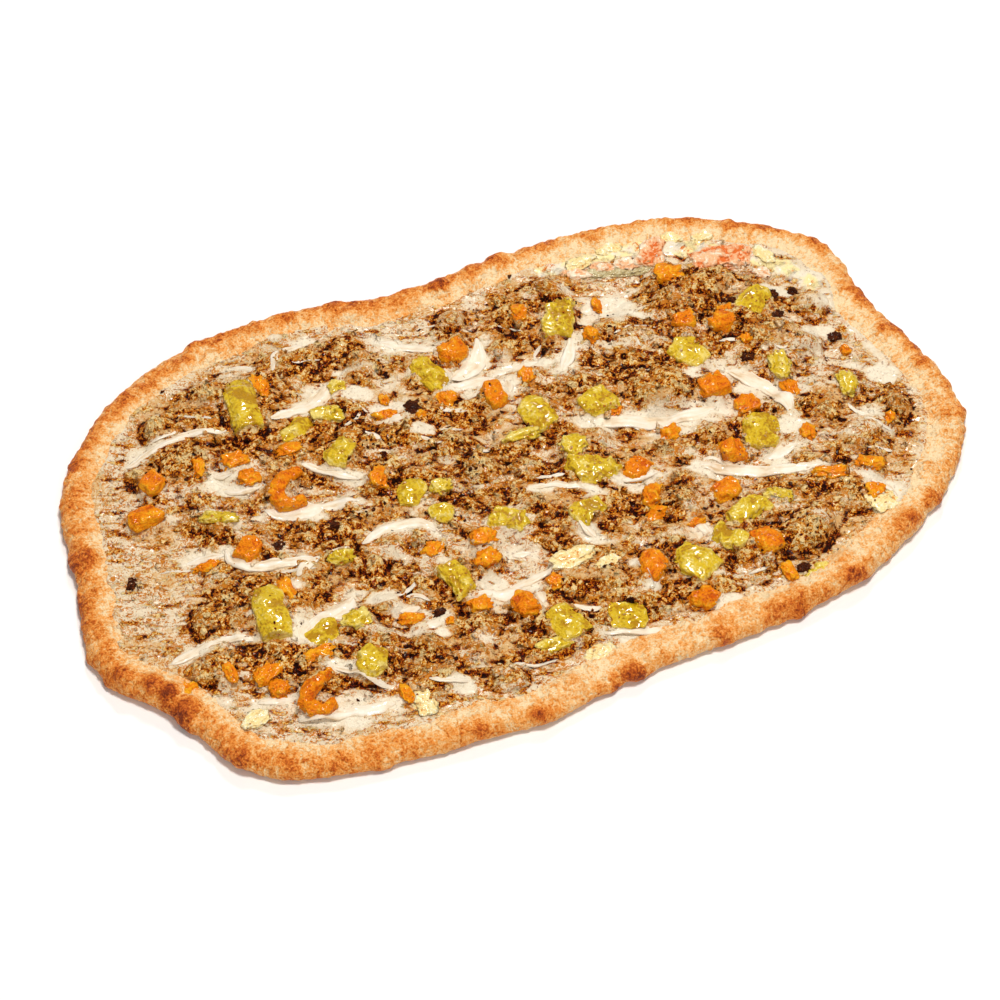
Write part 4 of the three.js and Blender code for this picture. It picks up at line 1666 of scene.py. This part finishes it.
# ---- Toppings that are solids of their own --------------------------------------------------


@dataclass(frozen=True)
class Topping:
    """How the solids of one kind of topping are worked up."""

    prefix: str
    finish: Finish
    slot: str
    fold: float
    depth: float
    softness: int = 4
    flatness: float = 1.0
    voxel: float = 0.4
    bluntness: float = 0.0
    warp: float = 1.0
    girth: float = 1.0


@dataclass
class Toppings:
    """The pepper, orange dice and ham that are nodes of their own, wrinkled and softened."""

    kinds: list[Topping] = field(
        default_factory=lambda: [
            Topping("pepper_tip", Finish.PEPPER, "pepper", 6.0, 0.7, 1, 0.9, bluntness=0.9),
            Topping("pepper_wall", Finish.PEPPER, "pepper", 5.0, 1.1, 1, 0.75, warp=1.8, girth=0.94),
            Topping("pepper_crumpled", Finish.PEPPER, "pepper", 4.0, 1.6, 3, 0.8, warp=1.8, girth=0.95),
            Topping("orange_die", Finish.ORANGE, "orange", 3.6, 1.5, 16, 0.84, warp=2.0, girth=0.93),
            Topping("orange_hook", Finish.ORANGE, "orange", 3.2, 1.0, 6),
            Topping("ham_scrap", Finish.HAM, "ham", 2.6, 2.0, 30, 0.75, warp=3.0),
        ]
    )

    def build(self) -> list[bpy.types.Object]:
        """Builds a piece for each node.

        Returns:
            The pieces.
        """
        pieces = []
        for kind in self.kinds:
            material = kind.finish.value.material()
            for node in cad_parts:
                if node.startswith(kind.prefix):
                    pieces.append(self._piece(kind, node, material))
        return pieces

    def _piece(self, kind: Topping, node: str, material: bpy.types.Material) -> bpy.types.Object:
        """Builds one piece from the node that it stands for.

        Args:
            kind: The topping's kind.
            node: The node.
            material: Its finish.

        Returns:
            The piece.
        """
        carrier = linked_object("Carrier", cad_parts[node].data.copy())
        remesh = carrier.modifiers.new("Remesh", "REMESH")
        remesh.mode = "VOXEL"
        remesh.voxel_size = kind.voxel * MM
        smooth = carrier.modifiers.new("Smooth", "SMOOTH")
        smooth.factor = 0.5
        smooth.iterations = kind.softness
        mesh = evaluated_copy(carrier)
        points, normals = corner_values(mesh, "co") / MM, corner_values(mesh, "normal")
        low, high = (np.array(side[:]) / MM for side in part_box(node))
        span = points.max(axis=0) - points.min(axis=0)
        points = (points - points.min(axis=0)) / span * (high - low) + low
        middle = points[:, :2].mean(axis=0)
        points[:, :2] = middle + kind.girth * (points[:, :2] - middle)
        points = self._blunted(points, kind.bluntness)
        seed = 100 + 7 * sum(map(ord, node))
        for axis in (0, 1):
            points[:, axis] += kind.warp * rough_hills(points, 6.5, seed + 11 + axis, 2)
        stirred = points + 0.3 * kind.fold * hills(points, kind.fold, seed)[:, None]
        wrinkle = rough_hills(stirred, kind.fold, seed)
        ridge = (1 - np.abs(hills(stirred, 0.9 * kind.fold, seed + 3))) ** 3
        fold = 0.8 * wrinkle + 0.6 * ridge - 0.2
        lift = kind.depth * fold * ease(normals[:, 2], -0.6, 0.1)
        lift += 0.15 * rough_hills(points, 1.3, seed + 5, 2)
        points = points + normals * lift[:, None] * (0.7, 0.7, 1)
        foot = points[:, 2].min()
        points[:, 2] = foot + kind.flatness * (points[:, 2] - foot)
        move_corners(mesh, points)
        # Painted light for the finish: lighter on raised folds and on steep sides, darker in the folds.
        store(mesh, "ridge", 0.35 + 0.55 * fold + 0.3 * ease(np.abs(normals[:, 2]), 0.7, 0.2))
        piece = dressed("dressed_" + node, mesh, material)
        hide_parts(node)
        return piece

    @staticmethod
    def _blunted(points: np.ndarray, bluntness: float) -> np.ndarray:
        """Widens the narrow end of a tapering piece.

        Args:
            points: The piece's corners.
            bluntness: How much wider its end gets, as a share of its width there.

        Returns:
            The moved corners.
        """
        if not bluntness:
            return points
        middle = points[:, :2].mean(axis=0)
        _, axes = np.linalg.eigh(np.cov((points[:, :2] - middle).T))
        across, along = ((points[:, :2] - middle) @ axes).T
        if np.ptp(across[along > np.median(along)]) > np.ptp(across[along < np.median(along)]):
            along = -along
            axes[:, 1] = -axes[:, 1]
        share = (along - along.min()) / np.ptp(along)
        wider = across * (1 + bluntness * ease(share, 0.35, 0.95))
        shorter = along - 0.12 * np.ptp(along) * ease(share, 0.5, 1.0)
        result = points.copy()
        result[:, :2] = middle + shorter[:, None] * axes[:, 1] + wider[:, None] * axes[:, 0]
        return result


# ---- Onion strips ---------------------------------------------------------------------------


class StripTree(GeometryTree):
    """Lays flattened strips along lines."""

    def __init__(self, material: bpy.types.Material) -> None:
        """Builds the tree for strips of one finish.

        Args:
            material: The finish.
        """
        numbers = dict.fromkeys(("Flatness", "Waviness", "Wave scale"), "Float")
        super().__init__("Laid strips", {"Lines": "Geometry"} | numbers)
        given = self.given
        curve = self.add("GeometryNodeMeshToCurve", None, {"Mesh": given["Lines"]})
        level = self.add("GeometryNodeSetCurveNormal", None, {"Curve": curve.outputs[0]})
        level.mode = "Z_UP"
        circle = self.add("GeometryNodeCurvePrimitiveCircle", None, {"Resolution": 12, "Radius": 1.0})
        place = self.add("GeometryNodeInputPosition").outputs[0]
        sides = self.add("ShaderNodeSeparateXYZ", None, {0: place})
        squash = self.add("ShaderNodeCombineXYZ", None, {0: 1.0, 1: given["Flatness"], 2: 1.0})
        outline = {
            "Geometry": self.marked(circle.outputs[0], "POINT", "across", sides.outputs[0]),
            "Scale": squash.outputs[0],
        }
        tube = {
            "Curve": level.outputs[0], "Scale": self.named("half_width"), "Fill Caps": True,
            "Profile Curve": self.add("GeometryNodeTransform", None, outline).outputs[0],
        }
        waves = self.wobble(given["Wave scale"], given["Waviness"])
        self.finish(self.add("GeometryNodeCurveToMesh", None, tube).outputs[0], waves, material)


@dataclass
class OnionStrips:
    """Milky strips of cooked onion, lying on the cream and the mince."""

    step: float = 0.8
    flatness: float = 0.24
    widening: float = 1.15
    # How far the strips waver in millimetres, and how often in one millimetre.
    waviness: float = 1.1
    waves: float = 0.28
    thread_count: int = 40
    # Each strip as its width and the points of its middle line; these eleven are nodes of the part.
    node_strips: list[tuple[float, Path]] = field(
        default_factory=lambda: [
            (4.2, [(-63, 49.5), (-52, 50.5), (-44, 53), (-36, 59)]),
            (3.0, [(-61, 28), (-55, 23), (-50, 18), (-46, 14)]),
            (3.6, [(-96.5, 5), (-95.5, -2), (-90, -7.5), (-82, -9.5), (-73, -10.5)]),
            (3.4, [(-56, -11), (-46, -8.5), (-37, -10), (-32, -16)]),
            (4.2, [(-87, -38), (-80, -33), (-71, -32), (-64, -27)]),
            (3.2, [(-17, 68), (-12, 63), (-6, 59), (-1, 55.5)]),
            (5.4, [(14, 56), (12, 49), (7, 45), (-1, 43)]),
            (3.4, [(42, 42), (39, 36), (33.5, 30)]),
            (4.4, [(32, 5.5), (41, 2.5), (50, 0), (60, -3.5), (73, -5)]),
            (4.6, [(83, 9), (89, 5), (94, -3), (96, -11), (94, -17)]),
            (3.8, [(57, -24.5), (65, -28.5), (75, -34), (85, -38), (94, -40)]),
        ]
    )
    # These are half sunk in the cream and the mince.
    sunken_strips: list[tuple[float, Path]] = field(
        default_factory=lambda: [
            (3.0, [(-67, 79), (-63, 75), (-60, 72)]), (4.0, [(-55, 69), (-48, 75), (-40, 78)]),
            (2.5, [(-113, 51), (-104, 53), (-94, 54.5), (-86, 54), (-78, 50)]),
            (3.0, [(-88, 27), (-84, 24), (-76, 24)]), (5.0, [(-89, 34), (-83, 32)]),
            (4.0, [(-79, 15), (-70, 10), (-60, 10), (-50, 6)]),
            (2.5, [(-110, 6), (-103, 5.5), (-97, 3)]), (4.0, [(-80, -16), (-71, -11)]),
            (4.0, [(-84, -43), (-88, -38), (-84, -33)]),
            (2.5, [(-128, -30), (-120, -29), (-112, -28.5), (-104, -31), (-101, -34)]),
            (3.0, [(-83, -53), (-78, -57), (-72, -63), (-69, -66)]),
            (3.0, [(-109, -55), (-103, -56), (-97, -58)]),
            (4.0, [(-100, -66), (-92, -68), (-80, -71), (-70, -72)]),
            (4.0, [(-3, 40), (5, 38), (12, 36)]), (2.0, [(12, 39), (22, 39), (30, 38)]),
            (4.0, [(13, 27), (15, 35)]), (6.0, [(78, -29), (90, -29)]),
            (2.0, [(3, -12), (12, -14.5), (20, -18), (24, -24)]), (3.0, [(11, -31), (14, -39)]),
            (5.0, [(31, -22), (43, -22)]), (2.4, [(20, -54), (23, -60), (22, -65)]),
            (3.0, [(0, -74), (8, -76), (16, -78), (24, -80)]), (3.0, [(-12, -49), (-13, -57)]),
            (4.0, [(-30, -44), (-22, -47), (-15, -48)]), (2.0, [(-20, -46), (-8, -44), (4, -44)]),
            (3.0, [(45, -45), (48, -54)]), (3.0, [(105, -52), (109, -56), (110, -62)]),
            (4.0, [(-29, 41), (-23, 40)]), (4.0, [(-27, 35), (-22, 33)]),
            (4.0, [(-55, -41), (-49, -41)]), (4.0, [(-51, -50), (-45, -50)]),
            (4.0, [(-13, -33), (-7, -35)]),
        ]
    )

    def build(self, layers: Layers) -> None:
        """Builds the strips that are nodes, and then those that are half sunk.

        Args:
            layers: The ground that they lie on.
        """
        self.grid = layers.grid
        self.ground = blurred(layers.top(), 2.4)
        material = StripFinish().material()
        surface = [self._line(width, line, 0.05) for width, line in self.node_strips]
        piece = self._laid("onion_strips", surface, material)
        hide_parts(*[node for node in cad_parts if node.startswith("onion_strip")])
        sunken = [self._line(width, line, -0.05) for width, line in self.sunken_strips]
        self._laid("sunken_onion_strips", sunken, material)
        threads = [self._line(width, line, 0.1) for width, line in self._threads(layers)]
        self._laid("onion_threads", threads, material)

    def _threads(self, layers: Layers) -> list[tuple[float, Path]]:
        """Thin slivers scattered over the topping, mostly along the flow of the cream.

        Args:
            layers: The ground that they lie on.

        Returns:
            Each sliver's width and the points of its middle line.
        """
        chance = np.random.default_rng(17)
        threads: list[tuple[float, Path]] = []
        while len(threads) < self.thread_count:
            start = chance.uniform(CAD_LOW[:2], CAD_HIGH[:2]) / MM
            turn = math.radians(FLOW_TURN + chance.normal(0, 28))
            bend = chance.normal(0, 0.35)
            length, width = chance.uniform(6, 15), chance.uniform(0.7, 1.6)
            line = [start]
            for k in range(3):
                angle = turn + bend * (k - 1)
                line.append(line[-1] + length / 3 * np.array([math.cos(angle), math.sin(angle)]))
            places = np.array(line)
            clear = layers.grid.read(layers.covered, places).max() < 0.1
            if clear and layers.grid.read(layers.inside, places).min() > 17:
                threads.append((width, [tuple(point) for point in line]))
        return threads

    def _line(self, width: float, corners: Path, rise: float) -> tuple[np.ndarray, np.ndarray]:
        """A strip's middle line, laid on the ground, and its half widths.

        Args:
            width: The strip's width.
            corners: Points of its middle line in plan.
            rise: How high its middle lies over the ground, in shares of its thickness.

        Returns:
            The line's points and its half width at each.
        """
        width = width * self.widening
        rough = np.array(corners, float)
        for _ in range(2 * (len(rough) > 2)):
            near, far = rough[:-1], rough[1:]
            cut = np.stack([0.75 * near + 0.25 * far, 0.25 * near + 0.75 * far], axis=1)
            rough = np.vstack([rough[:1], cut.reshape(-1, 2)[1:-1], rough[-1:]])
        length = np.linalg.norm(np.diff(rough, axis=0), axis=1).sum()
        line, even = evenly(rough, max(6, int(length / self.step)))
        line += 0.5 * np.stack([hills(line, 6, 5), hills(line, 6, 8)], axis=1)
        ground = self.grid.read(self.ground, line)
        ends = np.clip(np.minimum(even, even[-1] - even) / (1.3 * width), 0.03, 1)
        half = 0.5 * width * ends**0.5 * (1 + 0.3 * hills(line, 5, 3))
        height = ground + rise * width * self.flatness + 0.3 * hills(line, 6, 2)
        return np.column_stack([line, height]), half

    def _laid(
        self, name: str, strips: list[tuple[np.ndarray, np.ndarray]], material: bpy.types.Material
    ) -> bpy.types.Object:
        """Runs the strips' lines through their tree and dresses the result.

        Args:
            name: The piece's name.
            strips: Each strip's points and half widths.
            material: Their finish.

        Returns:
            The piece.
        """
        points = np.vstack([line for line, _ in strips])
        edges, start = [], 0
        for line, _ in strips:
            edges += [(start + k, start + k + 1) for k in range(len(line) - 1)]
            start += len(line)
        mesh = bpy.data.meshes.new("Lines")
        mesh.from_pydata((points * MM).tolist(), edges, [])
        store(mesh, "half_width", np.concatenate([half for _, half in strips]) * MM)
        along = [100 * k + self.step * np.arange(len(line)) for k, (line, _) in enumerate(strips)]
        store(mesh, "along", np.concatenate(along))
        values = {"Flatness": self.flatness, "Waviness": self.waviness * MM, "Wave scale": self.waves / MM}
        return dressed(name, StripTree(material).run(mesh, values), material)


# ---- Small bits -----------------------------------------------------------------------------


@dataclass(frozen=True)
class BitKind:
    """One kind of small bit and how lumpy it is."""

    name: str
    finish: Finish
    slot: str
    height: float
    boxiness: float
    lump: float
    rows: tuple[Row, ...]


@dataclass
class SmallBits:
    """Bits too small for solids of their own, joined by kind."""

    layers: Layers
    kinds: list[BitKind] = field(
        default_factory=lambda: [
            BitKind("pepper_bits", Finish.PEPPER, "pepper", 3.4, 0.2, 0.48, (
                (-45.5, 43.5, 10, 6, -20), (-93.5, 16.5, 11, 4.5, -25), (9, 8, 12, 5, -5),
                (22.5, -2.5, 9, 8, 0), (-24, -1.5, 7, 6, 0), (-69.5, -40, 8, 7, 0),
                (-17, -72.5, 11, 5, -5), (100.5, 3, 11, 7, 80), (116.5, -14.5, 9, 6, 80),
                (73, -79, 9, 6, -20), (-64.5, -14.5, 9, 5, -15), (74, -48, 9, 5, -40),
                (-37, 56, 6, 5, 0),
            )),
            BitKind("faded_pepper_bits", Finish.CHEESE, "pepper", 2.0, 0.1, 0.5, (
                (3, -44, 13, 7, 0), (-62, -76, 7, 10, 0), (-4, -80, 9, 6, 0),
                (-112, -61, 8, 6, 20), (105, -61, 10, 9, 0), (12, -50, 8, 5, 10),
                (72, 76, 9, 5, -15), (93, 72, 8, 5, -30), (103, 68, 7, 6, 0),
                (118, 52, 8, 5, -60), (60, 74, 10, 5, 0),
            )),
            BitKind("orange_bits", Finish.ORANGE, "orange", 3.7, 0.15, 0.48, (
                (-80.5, 36.5, 9, 6, 0), (-79, 28, 7, 7, 0), (-6, 34.5, 6.5, 6.5, 0),
                (30, 58.5, 7, 5, 80), (21.5, 33, 7, 5.5, 60), (48, 39.5, 6.5, 5, 80),
                (-41, 10.5, 9, 5.5, 75), (99.5, -6.5, 9, 6, 80), (54, -8, 6.5, 6, 0),
                (95.5, -26.5, 6.5, 5, 80), (37, -31, 8, 6, 60), (94.5, -45.5, 10, 5, -25),
                (107, -47.5, 9, 5, -30), (-22, -33.5, 9, 7, 10), (-20, -25.5, 8, 6, -20),
                (-102, -46.5, 9, 6, 20), (-101, -53, 7, 6, 0), (-127.5, -42, 7, 6, 60),
                (-31, -48.5, 7, 6, 0),
            )),
            BitKind("little_orange_bits", Finish.ORANGE, "orange", 3.0, 0.1, 0.48, (
                (-60.5, 64, 9, 5, 100), (-92, 39.5, 8, 4, 70), (-27, 37.5, 8, 4, -20),
                (-25, 44.5, 4, 3, 90), (-17, 31.5, 4, 3, 0), (57, 54, 6, 3, 80),
                (94, 32.5, 7, 4, 0), (36, -37.5, 8, 5, 0), (-6, -49.5, 6, 5, 90),
                (-53, -44.5, 8, 4, -20), (-42, -51, 4, 3, 0), (-113, -42.5, 8, 4, 90),
                (-65.5, -70.5, 7, 4, 90), (-85, -46.5, 9, 5, 0), (-85, -19.5, 9, 5, 90),
                (42, 7, 5, 4, 0), (124, 2, 4, 3, 90), (84.5, 56.5, 9, 8, 0),
                (64, -75.5, 7, 4, 90), (105, -56.5, 6, 6, 0), (45, -47, 6, 3, 0),
                (-104, 1.5, 8, 4, 0), (123, -32, 4, 4, 0), (95, 18, 4, 4, 0),
                (-36, -22.5, 7, 6, 0), (-62, 35.5, 9, 5, 0),
            )),
            BitKind("ham_bits", Finish.HAM, "ham", 2.6, 0.1, 0.5, (
                (57, 70, 9, 4, -20), (66, 69.5, 8, 4, -25), (74, 67, 7, 5, -20),
                (106, 54, 8, 6, -30), (98, 58, 7, 5, -20), (114, 45, 6, 4, -40),
            )),
            BitKind("herb_strip", Finish.HERB, "onion", 1.6, 0.1, 0.5, (
                (62, 68, 12, 3.6, -15), (71, 65, 12, 3.6, -20), (79, 62.5, 9, 3, -10),
            )),
            BitKind("burnt_bits", Finish.CHAR, "mince", 2.0, 0.1, 0.6, (
                (-18, 36, 5, 5, 0), (98, 36, 4, 3, 0), (109, 23, 4, 3, 40), (92, 11, 4, 3, 0),
                (124, 9, 4, 3, 0), (113, 33, 4, 3, 60), (120, 33, 3, 3, 0), (-61, -2, 4, 3, 0),
                (-80, -1, 4, 3, 20), (-128, 5, 4, 2.5, 60), (-44, -46, 4, 3, 0),
                (83, -76, 5, 3, 20), (69, -76, 4, 3, 0),
            )),
        ]
    )

    def build(self) -> list[bpy.types.Object]:
        """Builds one piece for each kind.

        Returns:
            The pieces.
        """
        pieces = []
        self.ground = self.layers.base()
        ball = bmesh.new()
        bmesh.ops.create_icosphere(ball, subdivisions=4, radius=1.0)
        ball.verts.ensure_lookup_table()
        unit = np.array([v.co[:] for v in ball.verts])
        faces = np.array([[v.index for v in f.verts] for f in ball.faces])
        ball.free()
        for number, kind in enumerate(self.kinds):
            points, ridges, triangles = [], [], []
            for k, row in enumerate(kind.rows):
                triangles.append(faces + k * len(unit))
                bit, ridge = self._bit(unit, kind, row, 200 + 40 * number + k)
                points.append(bit)
                ridges.append(ridge)
            joined = [tuple(face) for face in np.vstack(triangles).tolist()]
            material = kind.finish.value.material()
            numbers = {"ridge": np.concatenate(ridges)}
            pieces.append(solid_piece(kind.name, np.vstack(points), joined, material, numbers))
        return pieces

    def _bit(self, unit: np.ndarray, kind: BitKind, row: Row, seed: int) -> tuple[np.ndarray, np.ndarray]:
        """One bit's points and how far they stand out, for painted light on its raised parts.

        Args:
            unit: Points of a ball of radius 1.
            kind: The bit's kind.
            row: Its middle's x and y, its length, its width and its turn.
            seed: Makes its shape its own.

        Returns:
            Its points in millimetres, and how far each stands out, from 0 to 1, which its finish turns into
            painted light.
        """
        x, y, length, width, turn = row
        largest = np.abs(unit).max(axis=1, keepdims=True)
        boxed = unit * (1 - kind.boxiness + kind.boxiness * 0.85 / largest)
        lumps = rough_hills(1.5 * unit + seed, 1.0, seed)
        ridge = (1 - np.abs(hills(1.9 * unit + seed, 1.0, seed + 3))) ** 3
        shaped = boxed * (1 + kind.lump * (lumps + 0.8 * ridge - 0.3))[:, None]
        shaped = shaped * (0.5 * length, 0.5 * width, 0.5 * kind.height)
        ground = self.layers.grid.read(self.ground, np.array([[x, y]]))[0]
        flat = turned(shaped[:, :2], turn) + (x, y)
        placed = np.column_stack([flat, shaped[:, 2] + ground + 0.25 * kind.height])
        # The second value is painted light on what stands out, painted shade in the dips.
        return placed, 0.4 + 0.4 * lumps + 0.4 * ridge


# ---- Floor, lights and camera ---------------------------------------------------------------


@dataclass(frozen=True)
class Lamp:
    """A square lamp that points at the bread, placed in metres."""

    name: str
    place: Triple
    size: float
    watts: float
    colour: Triple

    def build(self) -> None:
        """Puts the lamp in the scene."""
        data = bpy.data.lights.new(self.name, "AREA")
        data.size, data.energy, data.color = self.size, self.watts, self.colour
        lamp = bpy.data.objects.new(self.name, data)
        lamp.location = self.place
        lamp.rotation_euler = Vector(self.place).to_track_quat("Z", "Y").to_euler()
        bpy.context.scene.collection.objects.link(lamp)


@dataclass
class Studio:
    """A white floor, soft light mostly from above, and the camera."""

    azimuth: float = -24.0
    elevation: float = 50.0
    distance: float = 1212.0
    lens: float = 135.0
    sensor: float = 36.0
    sight: float = 50.0
    target: Triple = (-6.65, -8.81, 3.0)
    world_light: float = 0.24
    world_colour: Triple = (1.0, 0.98, 0.95)
    lamps: tuple[Lamp, ...] = (
        Lamp("Key", (0.1, -0.1, 1.3), 0.25, 12.0, (1.0, 0.97, 0.92)),
        Lamp("Back", (0.4, 0.85, 1.0), 0.14, 4.8, (1.0, 0.97, 0.93)),
        Lamp("Front", (-0.3, -1.2, 1.0), 0.9, 5.0, (1.0, 0.97, 0.93)),
    )
    # The floor in metres; far from the bread it glows, so that it fades into white in low views.
    floor_reach: float = 3.0
    floor_white: float = 0.95
    glow_range: tuple[float, float] = (0.3, 1.2)
    glow: float = 0.75

    def build(self) -> None:
        """Builds floor, lights and camera."""
        self._floor()
        self._world()
        for lamp in self.lamps:
            lamp.build()
        self._camera()
        bpy.context.scene.view_settings.view_transform = "Standard"

    def _floor(self) -> None:
        """A wide white floor under the bread."""
        r = self.floor_reach
        mesh = bpy.data.meshes.new("floor")
        mesh.from_pydata([(-r, -r, 0), (r, -r, 0), (r, r, 0), (-r, r, 0)], [], [(0, 1, 2, 3)])
        material = bpy.data.materials.new("White floor")
        material.use_nodes = True
        shader = material.node_tree.nodes["Principled BSDF"]
        shader.inputs["Base Color"].default_value = (*[self.floor_white] * 3, 1)
        shader.inputs["Roughness"].default_value = 0.9
        book = NodeBook(material.node_tree)
        away = book.vector("LENGTH", {0: book.add("ShaderNodeTexCoord").outputs["Object"]}, "Value")
        book.feed(shader.inputs["Emission Color"], Sock(book, away).above(*self.glow_range))
        shader.inputs["Emission Strength"].default_value = self.glow
        mesh.materials.append(material)
        floor = linked_object("floor", mesh)

    def _world(self) -> None:
        """Faint, nearly white surroundings."""
        world = bpy.data.worlds.new("Surroundings")
        world.use_nodes = True
        bpy.context.scene.world = world
        background = world.node_tree.nodes["Background"]
        background.inputs["Color"].default_value = (*self.world_colour, 1)
        background.inputs["Strength"].default_value = self.world_light

    def _camera(self) -> None:
        """The camera at the photograph's angle."""
        data = bpy.data.cameras.new("Camera")
        data.lens, data.sensor_width, data.clip_end = self.lens, self.sensor, self.sight
        camera = bpy.data.objects.new("Camera", data)
        a, e = math.radians(self.azimuth), math.radians(self.elevation)
        back = Vector((math.sin(a) * math.cos(e), -math.cos(a) * math.cos(e), math.sin(e)))
        camera.location = (Vector(self.target) + back * self.distance) * MM
        camera.rotation_euler = (-back).to_track_quat("-Z", "Y").to_euler()
        bpy.context.scene.collection.objects.link(camera)
        bpy.context.scene.camera = camera


# ---- Putting it together --------------------------------------------------------------------


def main() -> None:
    """Builds the whole scene."""
    logging.basicConfig(level=logging.INFO, format="%(name)s: %(message)s")
    Studio().build()
    plan = Plan()
    Crust(plan).build()
    onion = OnionStrips()
    layers = Layers(plan, Field(), onion.node_strips + onion.sunken_strips)
    layers.settle(Toppings().build() + SmallBits(layers).build())
    layers.build()
    Grains(layers).build()
    onion.build(layers)


if __name__ == "__main__":
    main()
